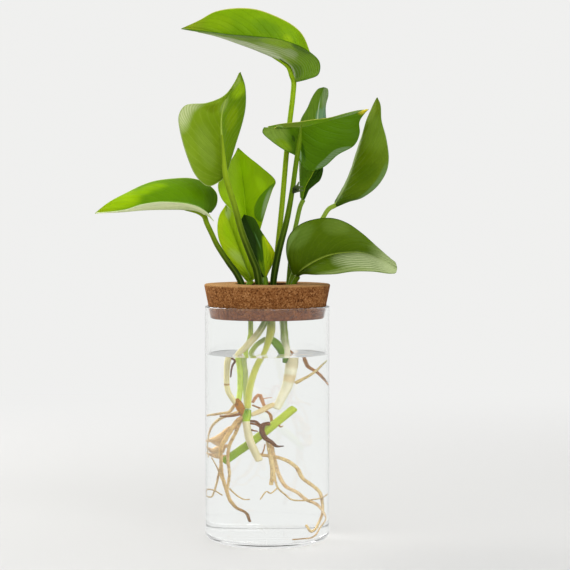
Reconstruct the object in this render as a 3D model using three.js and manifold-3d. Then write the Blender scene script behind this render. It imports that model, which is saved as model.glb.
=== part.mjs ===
// A propagation vase: a straight glass cylinder, a tapered cork stopper with a round collar hole,
// and the rooted cuttings that it holds, with their leaves above the cork and their roots below it.
// Millimetres, +Z up. The origin is the centre of the foot of the glass, and -Y is the front.

import * as THREE from "three";
import { mergeVertices } from "three/addons/utils/BufferGeometryUtils.js";
import Module from "manifold-3d";

const wasm = await Module();
wasm.setup();

// Glass cylinder
const glassDiameter = 80;
const glassHeight = 150;
const glassWall = 2;
const glassFloor = 3;
const footRounding = 4;
const floorRounding = 2.5;
const turnedFacets = 64;

// Cork stopper, a short cone that wedges into the rim
const stopperThickness = 22;
const stopperDepth = 8; // below the rim
const stopperTaper = 0.18; // radius gained for each millimetre of height
const stopperClearance = 0.3; // to the rim
const stopperEdge = 0.9; // worn edge, as a chamfer
const collarDiameter = 40;

// Leaves, their stalks and the roots
const bladeThickness = 0.9;
const bladeRows = 12;
const bladeColumns = 4; // on each side of the midrib
const rowCrowding = 1.5; // crowds the rows along the midrib towards the base of the leaf
const edgeShare = 0.97; // how much of an edge curve is used, which blunts the tip
const stalkSides = 8;
const rootSides = 6;
const tubeSteps = 14;
const crossLevel = 0.2; // of the stem across the collar, as a share of the stopper's thickness
const footLevel = 0.22; // of the feet of the stalks, which stand on it

// Pieces of a plant that meet keep this much air between them, so that each stays its own solid
const contactGap = 0.3;

// Sizes that follow from the ones above
const boreRadius = glassDiameter / 2 - glassWall;
const collarRadius = collarDiameter / 2;
const lidUnderside = glassHeight - stopperDepth;
const lidTop = lidUnderside + stopperThickness;
const waterDepth = lidUnderside - glassFloor;
const lipRadius = glassWall / 2;

function paint(color, roughness) {
  return new THREE.MeshStandardMaterial({ color, roughness, metalness: 0 });
}

const glass = paint("#e9f3f2", 0.02);
glass.transparent = true;
glass.opacity = 0.3;
const cork = paint("#b27f52", 0.9);
const leafGreen = paint("#6f9f12", 0.35);
const leafDark = paint("#476f08", 0.35);
const stalkGreen = paint("#7d9c2c", 0.4);
const paleStem = paint("#e4e5c8", 0.5);
const rootTan = paint("#c7a272", 0.7);

const model = new THREE.Group();

function addMesh(name, geometry, material) {
  const mesh = new THREE.Mesh(geometry, material);
  mesh.name = name;
  model.add(mesh);
}

// Points of a circular arc in a turned profile, between two angles in degrees
function arc(x, y, radius, from, to, steps) {
  return Array.from({ length: steps + 1 }, (_, i) => {
    const angle = THREE.MathUtils.degToRad(from + ((to - from) * i) / steps);
    return new THREE.Vector2(x + radius * Math.cos(angle), y + radius * Math.sin(angle));
  });
}

function turned(profile) {
  return new THREE.LatheGeometry(profile, turnedFacets).rotateX(Math.PI / 2);
}

function glassVessel() {
  const outer = glassDiameter / 2;
  return turned([
    new THREE.Vector2(0, 0),
    ...arc(outer - footRounding, footRounding, footRounding, -90, 0, 4),
    ...arc(outer - lipRadius, glassHeight - lipRadius, lipRadius, 0, 180, 6),
    ...arc(boreRadius - floorRounding, glassFloor + floorRounding, floorRounding, 0, -90, 3),
    new THREE.Vector2(0, glassFloor),
  ]);
}

// The stopper's radius at a height. It is the bore less its clearance where it meets the rounded lip.
function stopperRadius(z) {
  return boreRadius - stopperClearance + (z - glassHeight + lipRadius) * stopperTaper;
}

// extra is added all round, for cutting its neighbours clear of it
function corkStopper(extra) {
  const low = lidUnderside - extra;
  const high = lidTop + extra;
  const hole = collarRadius - extra;
  const bottom = stopperRadius(low) + extra;
  const top = stopperRadius(high) + extra;
  return turned([
    new THREE.Vector2(hole, low + stopperEdge),
    new THREE.Vector2(hole + stopperEdge, low),
    new THREE.Vector2(bottom - stopperEdge, low),
    new THREE.Vector2(bottom, low + stopperEdge),
    new THREE.Vector2(top, high - stopperEdge),
    new THREE.Vector2(top - stopperEdge, high),
    new THREE.Vector2(hole + stopperEdge, high),
    new THREE.Vector2(hole, high - stopperEdge),
    new THREE.Vector2(hole, low + stopperEdge),
  ]);
}

function smoothCurve(points) {
  return new THREE.CatmullRomCurve3(points, false, "centripetal");
}

// A closed surface through rings of points, with a fan over each end
function skinRings(rings) {
  const size = rings[0].length;
  const faces = [];
  for (let i = 0; i + 1 < rings.length; i++) {
    for (let j = 0; j < size; j++) {
      const a = i * size + j;
      const b = i * size + ((j + 1) % size);
      faces.push(a, b, b + size, a, b + size, a + size);
    }
  }
  const last = (rings.length - 1) * size;
  for (let j = 1; j + 1 < size; j++) {
    faces.push(0, j + 1, j, last, last + j, last + j + 1);
  }
  const geometry = new THREE.BufferGeometry().setFromPoints(rings.flat());
  geometry.setIndex(faces);
  return geometry;
}

// A round stalk, stem or root along a smooth path. The radii are spread evenly from its start to its end,
// and extra is added all round.
function tube(path, radii, sides, extra) {
  const curve = smoothCurve(path);
  const steps = Math.min(2 * path.length, tubeSteps);
  const frames = curve.computeFrenetFrames(steps, false);
  const rings = [];
  for (let i = 0; i <= steps; i++) {
    const u = i / steps;
    const centre = curve.getPointAt(u);
    if (i === 0) centre.addScaledVector(frames.tangents[i], -extra);
    if (i === steps) centre.addScaledVector(frames.tangents[i], extra);
    const k = Math.min(Math.floor(u * (radii.length - 1)), radii.length - 2);
    const radius = THREE.MathUtils.lerp(radii[k], radii[k + 1], u * (radii.length - 1) - k) + extra;
    const ring = [];
    for (let j = 0; j < sides; j++) {
      const angle = (2 * Math.PI * j) / sides;
      const point = centre.clone().addScaledVector(frames.normals[i], radius * Math.cos(angle));
      ring.push(point.addScaledVector(frames.binormals[i], radius * Math.sin(angle)));
    }
    rings.push(ring);
  }
  return skinRings(rings);
}

// A place above the stopper, from the centre of its top
function above([x, y, z]) {
  return new THREE.Vector3(x, y, lidTop + z);
}

// A place in the collar: shares of the room that it leaves for a stalk, and of the stopper's thickness
function inCollar([x, y], up, radius) {
  const room = collarRadius - contactGap - radius;
  return new THREE.Vector3(x * room, y * room, lidUnderside + up * stopperThickness);
}

// A place below the stopper: shares of the bore's radius to the right and back, and of the depth to the floor
function below([x, y, down]) {
  return new THREE.Vector3(x * boreRadius, y * boreRadius, lidUnderside - down * waterDepth);
}

// The middle surface of a leaf blade, in rows that fan out from the midrib to the two edges
function bladeSurface(leaf) {
  const midrib = smoothCurve(leaf.midrib.map(above));
  const edges = [smoothCurve(leaf.left.map(above)), smoothCurve(leaf.right.map(above))];
  const rows = [];
  for (let i = 0; i <= bladeRows; i++) {
    const u = i / bladeRows;
    const rib = midrib.getPointAt(u ** rowCrowding);
    const forward = midrib.getTangentAt(u ** rowCrowding);
    const row = [rib];
    edges.forEach((edge, side) => {
      const out = edge.getPointAt(u * edgeShare).sub(rib);
      const up = new THREE.Vector3().crossVectors(side ? out : forward, side ? forward : out).normalize();
      for (let j = 1; j <= bladeColumns; j++) {
        const share = j / bladeColumns;
        const rise = leaf.arch[side] * 4 * share * (1 - share) * Math.sin(Math.PI * Math.min(1, u + 0.1));
        const point = rib.clone().addScaledVector(out, share).addScaledVector(up, rise);
        if (side) row.push(point);
        else row.unshift(point);
      }
    });
    rows.push(row);
  }
  return rows;
}

// Which way the upper face looks, at each point of that surface, evened out over the points around
function bladeNormals(rows) {
  const near = (list, i) => list[Math.max(0, Math.min(i, list.length - 1))];
  let normals = rows.map((row, i) =>
    row.map((_, j) => {
      const along = near(rows, i + 1)[j].clone().sub(near(rows, i - 1)[j]);
      const across = near(row, j + 1).clone().sub(near(row, j - 1));
      return across.cross(along).normalize();
    }),
  );
  for (let pass = 0; pass < 3; pass++) {
    normals = normals.map((row, i) =>
      row.map((n, j) =>
        n.clone().add(near(normals, i - 1)[j]).add(near(normals, i + 1)[j]).add(near(row, j - 1))
          .add(near(row, j + 1)).normalize(),
      ),
    );
  }
  return normals;
}

// A leaf blade as a closed sheet, thinner at its base and tip. extra is added all round.
function blade(rows, extra) {
  const normals = bladeNormals(rows);
  const last = rows.length - 1;
  const end = rows[0].length - 1;
  const spread = rows.map((row, i) =>
    row.map((p, j) => {
      const q = p.clone();
      const push = (from) => q.addScaledVector(p.clone().sub(from).normalize(), extra);
      if (j === 0) push(row[1]);
      if (j === end) push(row[end - 1]);
      if (i === 0) push(rows[1][j]);
      if (i === last) push(rows[last - 1][j]);
      return q;
    }),
  );
  const face = (sign) =>
    spread.flatMap((row, i) => {
      const half = (bladeThickness / 2) * Math.min(1, 0.5 + 0.25 * i, 0.4 + 0.3 * (last - i)) + extra;
      return row.map((p, j) => p.clone().addScaledVector(normals[i][j], sign * half));
    });
  const points = [...face(1), ...face(-1)];
  const under = points.length / 2;
  const width = rows[0].length;
  const faces = [];
  for (let a = 0; a < under - width; a++) {
    if (a % width === width - 1) continue;
    const b = a + width;
    faces.push(a, a + 1, b + 1, a, b + 1, b);
    faces.push(under + a, under + b + 1, under + a + 1, under + a, under + b, under + b + 1);
  }
  const rim = [];
  for (let a = 0; a < width - 1; a++) rim.push(a);
  for (let a = width - 1; a < under - 1; a += width) rim.push(a);
  for (let a = under - 1; a > under - width; a--) rim.push(a);
  for (let a = under - width; a > 0; a -= width) rim.push(a);
  rim.forEach((a, k) => {
    const b = rim[(k + 1) % rim.length];
    faces.push(a, under + a, under + b, a, under + b, b);
  });
  const geometry = new THREE.BufferGeometry().setFromPoints(points);
  geometry.setIndex(faces);
  return geometry;
}

// A leaf's stalk rises from its foot in the collar to its neck, at the base of the blade. Under some leaves
// it goes on along the midrib as a fading ridge.
function leafStalk(leaf, extra) {
  const { radius, neck, foot, collar, bends, beside, under } = leaf.stalk;
  const path = [inCollar(foot, footLevel, radius), inCollar(collar, 1, radius), ...bends.map(above)];
  const normals = bladeNormals(leaf.rows);
  const radii = [0.8 * radius, radius, (radius + neck) / 2, neck, neck];
  under.forEach((i, k) => {
    const away = neck * beside * (1 - 0.25 * k) + bladeThickness / 2;
    path.push(leaf.rows[i][bladeColumns].clone().addScaledVector(normals[i][bladeColumns], -away));
    if (k) radii.push(neck * (0.95 - 0.3 * k));
  });
  return tube(path, radii, stalkSides, extra);
}

const leaves = [
  {
    name: "top",
    tint: leafGreen,
    midrib: [
      [17, 3, 129.5], [14.5, 2, 138], [8, 0, 143], [-3.5, -2, 148], [-17.5, -3, 153], [-33.5, -4, 158],
      [-54.5, -6, 162],
    ],
    left: [
      [18.5, 0, 129], [26, -4, 130.5], [32.5, -8, 133], [33, -12, 140.5], [25.5, -15, 147],
      [11, -19, 153], [-7.5, -20, 155.5], [-28.5, -15, 158], [-54.5, -6, 162],
    ],
    right: [
      [21, 4, 133], [28, 5, 143.5], [26.5, 5, 151], [20.5, 4, 162], [3, 3, 172], [-15.5, 2, 176],
      [-33, 0, 173.5], [-43.5, -3, 167.5], [-54.5, -6, 162],
    ],
    arch: [2, 3],
    stalk: {
      radius: 1.75,
      neck: 1.7,
      foot: [0.13, 0.14],
      collar: [0.24, 0.12],
      bends: [[6.5, 2.5, 21], [9.5, 3, 50], [12.5, 3.5, 85], [14.5, 3.5, 104], [16.5, 3.5, 120.5]],
      beside: 0.3,
      under: [0],
    },
  },
  {
    name: "left_upright",
    tint: leafGreen,
    midrib: [
      [-26, -19.5, 69.5], [-27.5, -20, 81], [-28.5, -20, 93.5], [-28.5, -19, 106.5], [-25.5, -16, 117],
      [-20.5, -12, 126.5], [-17, -9, 134.5],
    ],
    left: [
      [-25, -17, 71.5], [-20, -9, 88], [-15.5, -4, 103.5], [-13.5, -3, 117], [-14, -5, 126.5],
      [-17, -9, 134.5],
    ],
    right: [
      [-29, -19, 65.5], [-37, -18, 62], [-44.5, -17, 68], [-50.5, -16, 81], [-55, -16, 97],
      [-55.5, -17, 106.5], [-51.5, -18, 112.5], [-37.5, -17, 114.5], [-27, -15, 119],
      [-20.5, -12, 127.5], [-17, -9, 134.5],
    ],
    arch: [2, 3],
    stalk: {
      radius: 2.4,
      neck: 1.85,
      foot: [-0.36, -0.18],
      collar: [-0.32, -0.52],
      bends: [
        [-7, -9.5, 9.5], [-9.5, -10.5, 16], [-16, -13.5, 33], [-20.5, -17, 49.5], [-24, -20.5, 61],
      ],
      beside: 0.9,
      under: [0, 3, 6],
    },
  },
  {
    name: "left_arching",
    tint: leafGreen,
    midrib: [
      [-39.5, -8, 44], [-44, -9, 46.5], [-52.5, -10, 48], [-65, -11, 48], [-77.5, -13, 47.5],
      [-93, -15, 46], [-108.5, -17, 45],
    ],
    left: [
      [-34, -10, 40], [-37.5, -16, 45], [-43.5, -22, 49], [-54.5, -27, 51.5], [-67, -29, 52],
      [-78.5, -27, 50.5], [-89.5, -22, 47], [-108.5, -17, 45],
    ],
    right: [
      [-36, -4, 45.5], [-32.5, 0, 51], [-32.5, 3, 58], [-38.5, 5, 64], [-50, 6, 67.5], [-66, 5, 67],
      [-78.5, 2, 63.5], [-91, -4, 57.5], [-101, -11, 51.5], [-108.5, -17, 45],
    ],
    arch: [2, 3],
    stalk: {
      radius: 2.2,
      neck: 1.65,
      foot: [-0.78, -0.18],
      collar: [-0.94, -0.27],
      bends: [
        [-19.5, -5, 6.5], [-24.5, -5.5, 13.5], [-32, -6.5, 25], [-35.5, -7.5, 32.5], [-38.5, -8, 39],
      ],
      beside: 0.5,
      under: [0],
    },
  },
  {
    name: "centre_back",
    tint: leafGreen,
    midrib: [[-11.5, 17, 35], [-14, 18, 45.5], [-15.5, 19, 60], [-17, 19, 74], [-19, 18, 88]],
    left: [
      [-18, 15, 39], [-23.5, 14, 47.5], [-29.5, 13, 54.5], [-32, 13, 62.5], [-30, 14, 69],
      [-25, 16, 77.5], [-21, 17, 84], [-19, 18, 88],
    ],
    right: [
      [-4.5, 13, 34.5], [0, 12, 50], [3.5, 13, 60.5], [5.5, 15, 66], [-3.5, 17, 75], [-11.5, 18, 81.5],
      [-19, 18, 88],
    ],
    arch: [2, 2],
    stalk: {
      radius: 1.6,
      neck: 1.6,
      foot: [-0.17, 0.14],
      collar: [-0.17, 0.34],
      bends: [[-8.5, 11, 14], [-10.5, 15, 25]],
      beside: 0.6,
      under: [0],
    },
  },
  {
    name: "centre_left",
    tint: leafGreen,
    midrib: [
      [-10, 3, 1.5], [-13, 4, 9], [-17.5, 5, 21], [-22, 5, 32.5], [-25.5, 4, 42.5], [-26.5, 2, 50.5],
    ],
    left: [
      [-13.5, 1, 1.5], [-22, 0, 12.5], [-27, 0, 19.5], [-31, 0, 28], [-32, 0, 37], [-30.5, 1, 44.5],
      [-26.5, 2, 50.5],
    ],
    right: [
      [-7.5, 4, 3.5], [-7.5, 4, 9], [-12, 4, 21], [-15.5, 4, 32.5], [-20, 3, 43.5], [-24, 2, 48],
      [-26.5, 2, 50.5],
    ],
    arch: [2, 2],
    stalk: {
      radius: 1.9,
      neck: 1.9,
      foot: [-0.56, 0.12],
      collar: [-0.66, 0.17],
      bends: [],
      beside: 0.4,
      under: [0],
    },
  },
  {
    name: "centre_dark",
    tint: leafDark,
    midrib: [[-1, 2, 3.5], [-3.5, 5, 13], [-6, 7, 24], [-10.5, 8.5, 35], [-15, 9, 44.5]],
    left: [
      [-4, 3, 4.5], [-8, 5, 13], [-12.5, 7, 22.5], [-15.5, 8, 31.5], [-17.5, 9, 39], [-15, 9, 44.5],
    ],
    right: [
      [-1, 4, 4.5], [2.5, 6, 10.5], [4.5, 8, 19.5], [0.5, 9, 27], [-4.5, 9, 34.5], [-8.5, 9, 42],
      [-15, 9, 44.5],
    ],
    arch: [1, 1],
    stalk: {
      radius: 1.8,
      neck: 1.8,
      foot: [-0.06, -0.18],
      collar: [-0.06, -0.08],
      bends: [],
      beside: 0.4,
      under: [0],
    },
  },
  {
    name: "right_spread",
    tint: leafDark,
    midrib: [
      [6, -11, 100], [14.5, -12.5, 99.5], [22.5, -13.5, 99.5], [32, -14, 101.5], [43, -13, 104.5],
      [53.5, -12, 107.5], [64, -11, 111],
    ],
    left: [
      [-2, -10, 99.5], [-3, -10, 96.5], [2.5, -11, 91], [11, -12, 85], [18, -13, 81.5],
      [25.5, -15, 72.5], [35, -16, 74], [44.5, -16, 82], [55, -15, 88], [58.5, -13, 95.5],
      [58.5, -12, 103], [64, -11, 111],
    ],
    right: [
      [0.5, -7, 100.5], [9.5, -1, 102.5], [20, 3, 104], [29.5, 5, 105.5], [40.5, 5, 107],
      [50, 2, 109.5], [58, -4, 111], [64, -11, 111],
    ],
    arch: [2, 3],
    stalk: {
      radius: 2.3,
      neck: 1.6,
      foot: [0.26, -0.18],
      collar: [0.22, -0.29],
      bends: [
        [6.5, -6.5, 17], [8.5, -7.5, 25.5], [12.5, -10, 41], [16, -13, 60.5], [18, -15, 75],
        [20, -17, 88.5],
      ],
      beside: 1.15,
      under: [5],
    },
  },
  {
    name: "right_rolled",
    tint: leafDark,
    midrib: [
      [23, 8, 53.5], [24.5, 8, 61.5], [29.5, 7, 71], [34, 7, 81.5], [35.5, 8, 95], [35.5, 9, 110],
      [36.5, 9, 126.5],
    ],
    left: [
      [21.5, 9, 55.5], [21, 10, 66], [21, 12, 76], [21.5, 13, 87], [22.5, 13, 97.5], [21.5, 12, 104.5],
      [26, 11, 113.5], [29.5, 10.5, 121], [33, 10, 125.5], [36.5, 9, 126.5],
    ],
    right: [
      [24.5, 9, 55.5], [28.5, 9, 63], [33.5, 9, 66], [36, 9, 72], [36, 10, 80.5], [39, 12, 94],
      [38, 13, 107], [38, 12, 115], [39.5, 10, 122], [39, 9.5, 125.5], [36.5, 9, 126.5],
    ],
    arch: [1, 2],
    stalk: {
      radius: 1.6,
      neck: 1.5,
      foot: [0.66, 0.14],
      collar: [0.76, 0.39],
      bends: [[15, 7.5, 14.5], [17, 8, 30], [19, 8.5, 39.5], [21.5, 9, 50]],
      beside: 0.5,
      under: [0],
    },
  },
  {
    name: "right_upright",
    tint: leafGreen,
    midrib: [
      [44.5, 14, 51.5], [49.5, 13, 60], [54, 13, 70.5], [57.5, 13, 81], [61, 13, 92], [64, 13, 104],
      [68, 14, 113.5], [71.5, 15, 120.5],
    ],
    left: [
      [44.5, 16, 53], [49, 24, 58], [56.5, 29, 68.5], [61.5, 31.5, 80], [64, 32, 92], [67, 27, 105],
      [69, 20, 115], [71.5, 15, 120.5],
    ],
    right: [
      [45.5, 13.5, 49.5], [53.5, 12, 53], [61.5, 10, 55.5], [70.5, 8, 62], [76.5, 7, 71], [78.5, 7, 80],
      [77, 8, 93], [74, 10, 105], [73.5, 13, 115.5], [71.5, 15, 120.5],
    ],
    arch: [2, 3],
    stalk: {
      radius: 1.8,
      neck: 1.5,
      foot: [0.82, 0.04],
      collar: [0.84, 0.06],
      bends: [[20, 3, 13], [27, 8, 29], [36, 12, 42], [40, 13.5, 48]],
      beside: 0.35,
      under: [0, 3, 5],
    },
  },
  {
    name: "right_low",
    tint: leafDark,
    midrib: [
      [18.5, -7, 5], [22.5, -10, 9], [29, -12, 13.5], [38.5, -14, 18], [49, -15, 20], [60, -16, 20],
      [72, -17, 16], [82, -18, 10.5],
    ],
    left: [
      [16.5, -6, 6.5], [13.5, -6, 13.5], [12, -7, 22.5], [14, -8, 31], [21, -9, 38], [31, -10, 41.5],
      [41.5, -11, 42], [50.5, -12, 39], [60, -13, 32.5], [70, -15, 23.5], [78, -17, 16.5],
      [81, -18, 14], [82, -18, 10.5],
    ],
    right: [
      [20, -10, 5], [23, -15, 6.5], [32, -24, 6.5], [42, -29, 7], [52.5, -31, 8.5], [65.5, -28, 8.5],
      [77.5, -22, 7], [81, -19.5, 7.5], [82, -18, 10.5],
    ],
    arch: [2, 3],
    stalk: {
      radius: 1.9,
      neck: 1.7,
      foot: [0.84, -0.18],
      collar: [0.95, -0.25],
      bends: [],
      beside: 0.4,
      under: [0],
    },
  },
];

const sunkPieces = [
  {
    name: "stem_shoot",
    tint: paleStem,
    radii: [2.4, 2.5, 2.6, 3.1, 2.9, 2.4, 2],
    path: [
      [0.27, 0, -0.005], [0.29, 0.02, 0.085], [0.32, 0.04, 0.155], [0.3, 0.05, 0.23],
      [0.25, 0.05, 0.31], [0.18, 0.04, 0.365], [0.12, 0.03, 0.41],
    ],
  },
  {
    name: "stem_cut_green",
    tint: stalkGreen,
    radii: [2.3, 2.3, 2.3],
    path: [[-0.54, 0.06, 0.66], [-0.1, 0.01, 0.54], [0.33, 0.03, 0.415]],
  },
  {
    name: "stem_main",
    tint: stalkGreen,
    radii: [3, 2.7, 1.7, 1.7, 1.8, 1.7],
    path: [
      [0.06, -0.08, -0.015], [0.06, -0.08, 0.06], [-0.01, -0.1, 0.13], [-0.15, -0.12, 0.225],
      [-0.23, -0.12, 0.315], [-0.26, -0.1, 0.405],
    ],
  },
  {
    name: "stem_crown",
    tint: stalkGreen,
    radii: [2, 2.4, 1.9],
    path: [[-0.26, -0.1, 0.42], [-0.27, -0.1, 0.445], [-0.28, -0.1, 0.47]],
  },
  {
    name: "stem_white_stub",
    tint: paleStem,
    radii: [1.9, 2.1, 2.1, 2],
    path: [[-0.28, -0.1, 0.465], [-0.23, -0.12, 0.555], [-0.16, -0.12, 0.61], [-0.11, -0.12, 0.645]],
  },
  {
    name: "stem_sheath",
    tint: stalkGreen,
    radii: [2, 2.7, 2.3, 1],
    path: [[0.05, -0.03, 0.095], [0.16, -0.01, 0.12], [0.24, 0, 0.16], [0.22, 0, 0.2]],
  },
  {
    name: "stem_left",
    tint: stalkGreen,
    radii: [1.6, 1.6, 1.5, 1.4, 1.4],
    path: [
      [-0.28, 0.06, -0.01], [-0.29, 0.05, 0.085], [-0.37, 0.03, 0.165], [-0.35, 0, 0.23],
      [-0.35, -0.02, 0.33], [-0.37, -0.05, 0.375],
    ],
  },
  {
    name: "stem_behind",
    tint: stalkGreen,
    radii: [1.5, 1.6, 1.5, 1.5, 1.4],
    path: [
      [-0.04, 0.12, 0.1], [-0.19, 0.1, 0.13], [-0.29, 0.08, 0.175], [-0.28, 0.05, 0.25],
      [-0.26, 0.02, 0.395],
    ],
  },
  {
    name: "stem_rooting",
    tint: paleStem,
    radii: [2.1, 2.1, 2.2, 1.8, 1.6, 1.5, 1.4],
    path: [
      [0.01, -0.22, -0.015], [-0.12, -0.2, 0.055], [-0.34, -0.17, 0.125], [-0.51, -0.14, 0.175],
      [-0.54, -0.1, 0.265], [-0.52, -0.08, 0.33], [-0.42, -0.05, 0.385],
    ],
  },
  {
    name: "stem_knot",
    tint: rootTan,
    radii: [1.3, 2.3, 2.2, 1.2],
    path: [[-0.39, -0.06, 0.37], [-0.36, -0.07, 0.4], [-0.33, -0.08, 0.425], [-0.32, -0.08, 0.45]],
  },
  {
    name: "stem_link",
    tint: paleStem,
    radii: [1.2, 1.5, 1.7, 1.4],
    path: [[-0.2, -0.04, 0.44], [-0.09, 0, 0.425], [0.01, 0.02, 0.405], [0.08, 0.03, 0.395]],
  },
  {
    name: "root_long_right",
    tint: rootTan,
    radii: [1, 1.1, 1, 1, 0.9, 0.8],
    path: [
      [-0.09, -0.04, 0.625], [0.1, 0, 0.635], [0.25, 0.03, 0.655], [0.37, 0.05, 0.69],
      [0.45, 0.05, 0.74], [0.58, 0.04, 0.775], [0.69, 0.02, 0.81], [0.74, 0, 0.875],
      [0.74, -0.03, 0.91], [0.7, -0.1, 0.945], [0.66, -0.18, 0.97], [0.61, -0.24, 0.975],
      [0.54, -0.26, 0.945],
    ],
  },
  {
    name: "root_floor_right",
    tint: rootTan,
    radii: [1, 1, 0.9, 0.7, 0.5],
    path: [
      [0.05, 0.1, 0.58], [0.09, 0.14, 0.655], [0.14, 0.16, 0.725], [0.23, 0.16, 0.78],
      [0.36, 0.14, 0.805], [0.48, 0.1, 0.84], [0.64, 0, 0.86], [0.8, -0.1, 0.9], [0.89, -0.2, 0.925],
      [0.81, -0.4, 0.955], [0.76, -0.52, 0.98], [0.68, -0.6, 0.99], [0.53, -0.68, 0.99],
      [0.39, -0.72, 0.99],
    ],
  },
  {
    name: "root_thin_right",
    tint: rootTan,
    radii: [0.8, 0.7, 0.5, 0.5, 0.45],
    path: [
      [0, 0.02, 0.565], [0.03, 0.04, 0.63], [0.08, 0.06, 0.7], [0.13, 0.06, 0.78], [0.23, 0.06, 0.815],
      [0.3, 0.04, 0.835], [0.44, 0, 0.84], [0.63, -0.04, 0.835], [0.74, -0.06, 0.83],
      [0.89, -0.06, 0.815],
    ],
  },
  {
    name: "root_twig",
    tint: rootTan,
    radii: [0.4, 0.4, 0.35],
    path: [[0.13, 0.06, 0.78], [0.04, 0.03, 0.805], [-0.01, 0, 0.795], [-0.09, -0.04, 0.83]],
  },
  {
    name: "root_stump",
    tint: rootTan,
    radii: [1, 1.2, 1.3, 1.1],
    path: [[0.02, -0.05, 0.595], [0.05, -0.06, 0.65], [0.07, -0.06, 0.705], [0.05, -0.06, 0.76]],
  },
  {
    name: "root_thick_left",
    tint: rootTan,
    radii: [1.5, 1.2, 1.1, 1.1, 1, 0.7],
    path: [
      [-0.32, -0.08, 0.45], [-0.4, -0.12, 0.47], [-0.51, -0.16, 0.52], [-0.63, -0.18, 0.585],
      [-0.64, -0.18, 0.65], [-0.62, -0.16, 0.715], [-0.55, -0.12, 0.785], [-0.49, -0.08, 0.835],
      [-0.4, -0.04, 0.87], [-0.27, 0, 0.895], [-0.22, 0.02, 0.935],
    ],
  },
  {
    name: "root_inner_left",
    tint: rootTan,
    radii: [1.1, 0.9, 0.9, 0.8, 0.7],
    path: [
      [-0.32, -0.08, 0.45], [-0.36, -0.04, 0.48], [-0.41, -0.03, 0.525], [-0.49, -0.02, 0.585],
      [-0.51, -0.02, 0.65], [-0.49, -0.02, 0.71], [-0.51, 0, 0.785],
    ],
  },
  {
    name: "root_inner_twig",
    tint: rootTan,
    radii: [0.5, 0.45, 0.35],
    path: [[-0.48, 0.02, 0.785], [-0.39, 0.04, 0.815], [-0.29, 0.06, 0.835], [-0.22, 0.08, 0.835]],
  },
  {
    name: "root_loop",
    tint: rootTan,
    radii: [0.6, 0.6, 0.5, 0.45],
    path: [
      [-0.64, -0.18, 0.66], [-0.64, -0.06, 0.7], [-0.65, 0.04, 0.76], [-0.69, 0.05, 0.805],
      [-0.73, 0.06, 0.83], [-0.86, 0.06, 0.825], [-0.85, 0.04, 0.8], [-0.72, 0, 0.795],
      [-0.59, -0.03, 0.815],
    ],
  },
  {
    name: "root_wisp",
    tint: rootTan,
    radii: [0.4, 0.5, 0.4],
    path: [[-0.74, 0.02, 0.645], [-0.68, -0.03, 0.68], [-0.63, -0.1, 0.725], [-0.55, -0.12, 0.785]],
  },
  {
    name: "root_side_upper",
    tint: rootTan,
    radii: [0.9, 0.9, 0.8, 0.6],
    path: [
      [-0.36, -0.07, 0.4], [-0.41, -0.01, 0.395], [-0.48, 0.04, 0.43], [-0.59, 0.06, 0.44],
      [-0.81, 0.1, 0.455],
    ],
  },
  {
    name: "root_side_dark",
    tint: rootTan,
    radii: [0.8, 0.8, 0.7, 0.5],
    path: [[-0.33, -0.08, 0.435], [-0.41, -0.14, 0.44], [-0.52, -0.18, 0.445], [-0.66, -0.2, 0.445]],
  },
  {
    name: "root_wall",
    tint: rootTan,
    radii: [0.7, 0.9, 0.8, 0.7, 0.5],
    path: [
      [-0.34, -0.08, 0.42], [-0.45, -0.1, 0.435], [-0.6, -0.08, 0.455], [-0.73, -0.04, 0.49],
      [-0.8, 0, 0.535], [-0.83, 0.02, 0.595], [-0.8, 0.04, 0.645],
    ],
  },
  {
    name: "root_fan_upper",
    tint: rootTan,
    radii: [1.2, 1.8, 1.5, 0.5],
    path: [
      [-0.38, -0.04, 0.495], [-0.46, 0.03, 0.505], [-0.55, 0.08, 0.535], [-0.66, 0.08, 0.56],
      [-0.87, 0.08, 0.575],
    ],
  },
  {
    name: "root_fan_middle",
    tint: rootTan,
    radii: [0.8, 1.2, 1.6, 1.2, 0.5],
    path: [
      [-0.49, -0.02, 0.585], [-0.52, 0.06, 0.59], [-0.61, 0.14, 0.605], [-0.69, 0.14, 0.615],
      [-0.82, 0.12, 0.6],
    ],
  },
  {
    name: "root_fan_lower",
    tint: rootTan,
    radii: [0.7, 1, 1.4, 1, 0.5],
    path: [
      [-0.45, 0.05, 0.635], [-0.52, 0.14, 0.64], [-0.58, 0.2, 0.645], [-0.67, 0.18, 0.64],
      [-0.8, 0.16, 0.63],
    ],
  },
  {
    name: "root_arch",
    tint: rootTan,
    radii: [0.8, 0.9, 1, 0.8],
    path: [
      [-0.18, 0.06, 0.385], [-0.14, 0.06, 0.36], [-0.1, 0.06, 0.35], [-0.07, 0.06, 0.37],
      [-0.04, 0.05, 0.4],
    ],
  },
  {
    name: "root_behind_link",
    tint: rootTan,
    radii: [0.5, 0.6, 0.8, 0.7],
    path: [[-0.18, 0.12, 0.4], [-0.06, 0.14, 0.42], [0.03, 0.1, 0.44], [0.06, 0.02, 0.495]],
  },
  {
    name: "root_ring",
    tint: rootTan,
    radii: [1.2, 1.4, 1.4, 1.3, 1, 0.3],
    path: [
      [0.02, -0.04, 0.48], [-0.05, -0.06, 0.485], [-0.07, -0.06, 0.51], [-0.03, -0.06, 0.545],
      [0.05, -0.05, 0.565], [0.12, -0.04, 0.585], [0.21, -0.03, 0.585],
    ],
  },
  {
    name: "root_peg",
    tint: rootTan,
    radii: [0.8, 0.8, 0.7],
    path: [[-0.28, -0.1, 0.465], [-0.21, -0.02, 0.47], [-0.14, 0.04, 0.475], [-0.08, 0.06, 0.495]],
  },
  {
    name: "root_high_pale",
    tint: rootTan,
    radii: [1.1, 0.8, 0.7, 0.5],
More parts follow.
